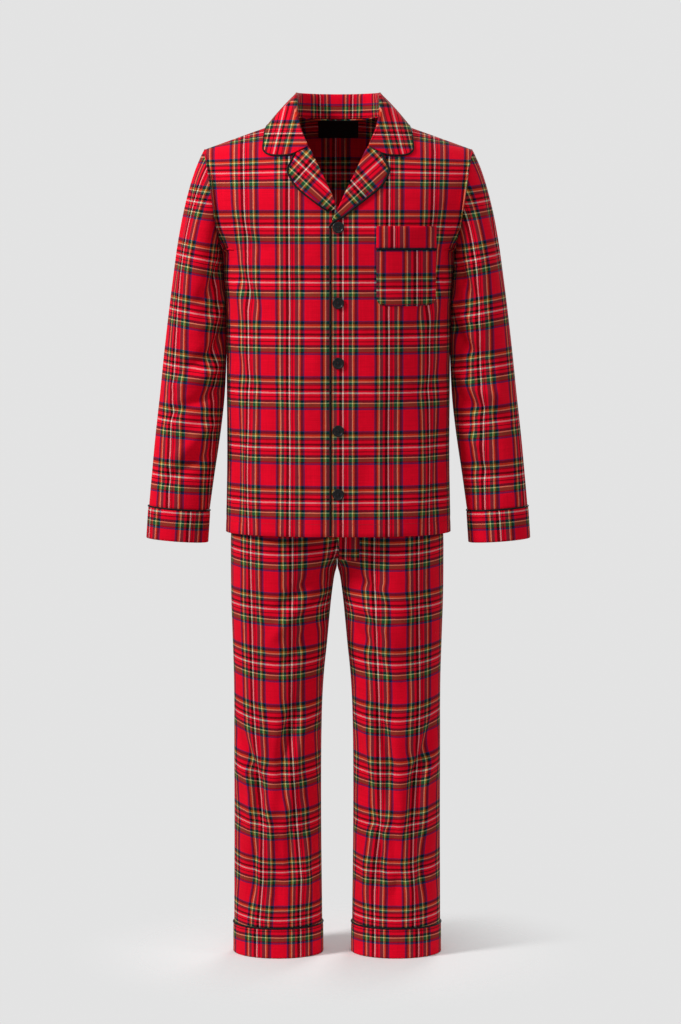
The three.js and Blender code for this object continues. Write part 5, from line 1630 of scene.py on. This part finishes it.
front = surfaces["front_right"]
inset = 2.6
pocketLine = [(pocket["left"] + inset, pocket["top"] - inset)]
sideZs = np.linspace(-200, pocket["bottom"] + pocket["corner"], 30)
pocketLine += [(pocket["left"] + inset, z) for z in sideZs]
for t in np.linspace(0.15, 0.85, 5):
    c = pocket["corner"]
    x, z = pocket["left"] + inset + c * t * t * 0.9, pocket["bottom"] + inset + c * (1 - t) ** 2
    pocketLine.append((x, z))
bottomXs = np.linspace(pocket["left"] + pocket["corner"], pocket["right"] - pocket["corner"], 20)
half = len(pocketLine)
pocketLine += [(x, pocket["bottom"] + inset) for x in bottomXs]
middleX = (pocket["left"] + pocket["right"]) / 2
pocketLine += [(2 * middleX - x, z) for x, z in pocketLine[:half][::-1]]
stitchOn("stitches.pocket", front, pocketLine, applied["lift"] + applied["wall"])
edgeZs = np.linspace(-196, body["hem"] + 4, 160)
stitchOn("stitches.front.edge", front, [(-body["lap"] + 3, z) for z in edgeZs])
hemZ = body["hem"] + hemFold["height"]
stitchOn("stitches.hem.right", front, [(x, hemZ) for x in np.linspace(-9, 194, 90)], 0.05)
stitchOn("stitches.hem.left", surfaces["front_left"], [(-x, hemZ) for x in np.linspace(16, 194, 80)], 0.05)
backFace = Surface(refine(backPoints, 8, 5, start=acrossSeam, end=acrossSeam, top=backTop))
backXs = np.linspace(-192, 192, 150)
stitchOn("stitches.hem.back", backFace, [(x, hemZ) for x in backXs], 0.1, forward=False)
labelZs = np.linspace(label["bottom"] + 2, label["top"] - 2, 12)
for n, x in enumerate((-32.5, 32.5)):
    row = [(x, z) for z in labelZs]
    stitchOn(f"stitches.label.{n + 1}", surfaces["back"], row, 1.15, True, blackThread)
flyLine = [(fly["right"] - 3, z) for z in np.linspace(fly["top"], fly["bottom"] + 24, 60)]
flyLine += [(fly["right"] - 3 - 26 * t * t, fly["bottom"] + 24 - 21 * t) for t in np.linspace(0.1, 1, 12)]
stitchOn("stitches.fly", surfaces["leg_right"], flyLine, applied["lift"] + applied["wall"])
print("stitches ready")

# floor that fades into the backdrop, studio light and camera
studio = dict(backdrop=0.77, ambient=0.36, floorShade=0.85, floorRadius=3.2, clear=(0.1, 0.5))
view = dict(distance=6.0, across=0.00385, height=-0.178, down=4.88, lens=120.5)

floorMesh = bpy.data.meshes.new("floor")
form = bmesh.new()
bmesh.ops.create_grid(form, x_segments=24, y_segments=24, size=studio["floorRadius"])
form.to_mesh(floorMesh)
form.free()
floor = bpy.data.objects.new("floor", floorMesh)
floor.location.z = (legs["end"] - 1.5) * mm
scene.collection.objects.link(floor)
floorPaint = bpy.data.materials.new("pale floor")
floorPaint.use_nodes = True
tree = floorPaint.node_tree
shader = tree.nodes["Principled BSDF"]
shader.inputs["Base Color"].default_value = (*[studio["floorShade"]] * 3, 1)
shader.inputs["Roughness"].default_value = 0.9
shader.inputs["Specular IOR Level"].default_value = 0
spot = addNode(tree, "ShaderNodeTexCoord")
reach = addNode(tree, "ShaderNodeVectorMath", operation="LENGTH")
tree.links.new(spot.outputs["Object"], reach.inputs[0])
fade = addNode(tree, "ShaderNodeMapRange", {
    "From Min": studio["clear"][0], "From Max": studio["clear"][1], "To Min": 1.0, "To Max": 0.0,
}, interpolation_type="SMOOTHSTEP")
tree.links.new(reach.outputs["Value"], fade.inputs["Value"])
tree.links.new(fade.outputs["Result"], shader.inputs["Alpha"])
floorMesh.materials.append(floorPaint)

world = bpy.data.worlds.new("studio")
scene.world = world
world.use_nodes = True
tree = world.node_tree
tree.nodes.clear()
seen = addNode(tree, "ShaderNodeBackground", {"Color": (*[studio["backdrop"]] * 3, 1), "Strength": 1.0})
lit = addNode(tree, "ShaderNodeBackground", {"Color": (1, 1, 1, 1), "Strength": studio["ambient"]})
ray = addNode(tree, "ShaderNodeLightPath")
choice = addNode(tree, "ShaderNodeMixShader")
tree.links.new(ray.outputs["Is Camera Ray"], choice.inputs["Fac"])
tree.links.new(lit.outputs[0], choice.inputs[1])
tree.links.new(seen.outputs[0], choice.inputs[2])
tree.links.new(choice.outputs[0], addNode(tree, "ShaderNodeOutputWorld").inputs["Surface"])

# each light: place, size and power
lights = dict(
    key=((-3.3, -1.95, 2.1), 1.0, 168), fill=((3.9, -2.2, 1.2), 1.4, 22),
    top=((0, -1.5, 2.8), 1.6, 14), rear=((1.2, 4.4, 1.4), 2.2, 90),
)
aim = Vector((0, 0, -0.7))
for name, (spot, size, power) in lights.items():
    lamp = bpy.data.lights.new(name, "AREA")
    lamp.shape, lamp.size, lamp.energy = "DISK", size, power
    holder = bpy.data.objects.new(name, lamp)
    holder.location = spot
    holder.rotation_euler = (aim - Vector(spot)).to_track_quat("-Z", "Y").to_euler()
    scene.collection.objects.link(holder)

cameraData = bpy.data.cameras.new("camera")
camera = bpy.data.objects.new("camera", cameraData)
cameraData.lens, cameraData.sensor_width, cameraData.clip_end = view["lens"], 36, 60
camera.location = (view["across"], -view["distance"], view["height"])
camera.rotation_euler = (math.radians(90 - view["down"]), 0, 0)
scene.collection.objects.link(camera)
scene.camera = camera
scene.view_settings.view_transform = "Standard"
print("studio ready")
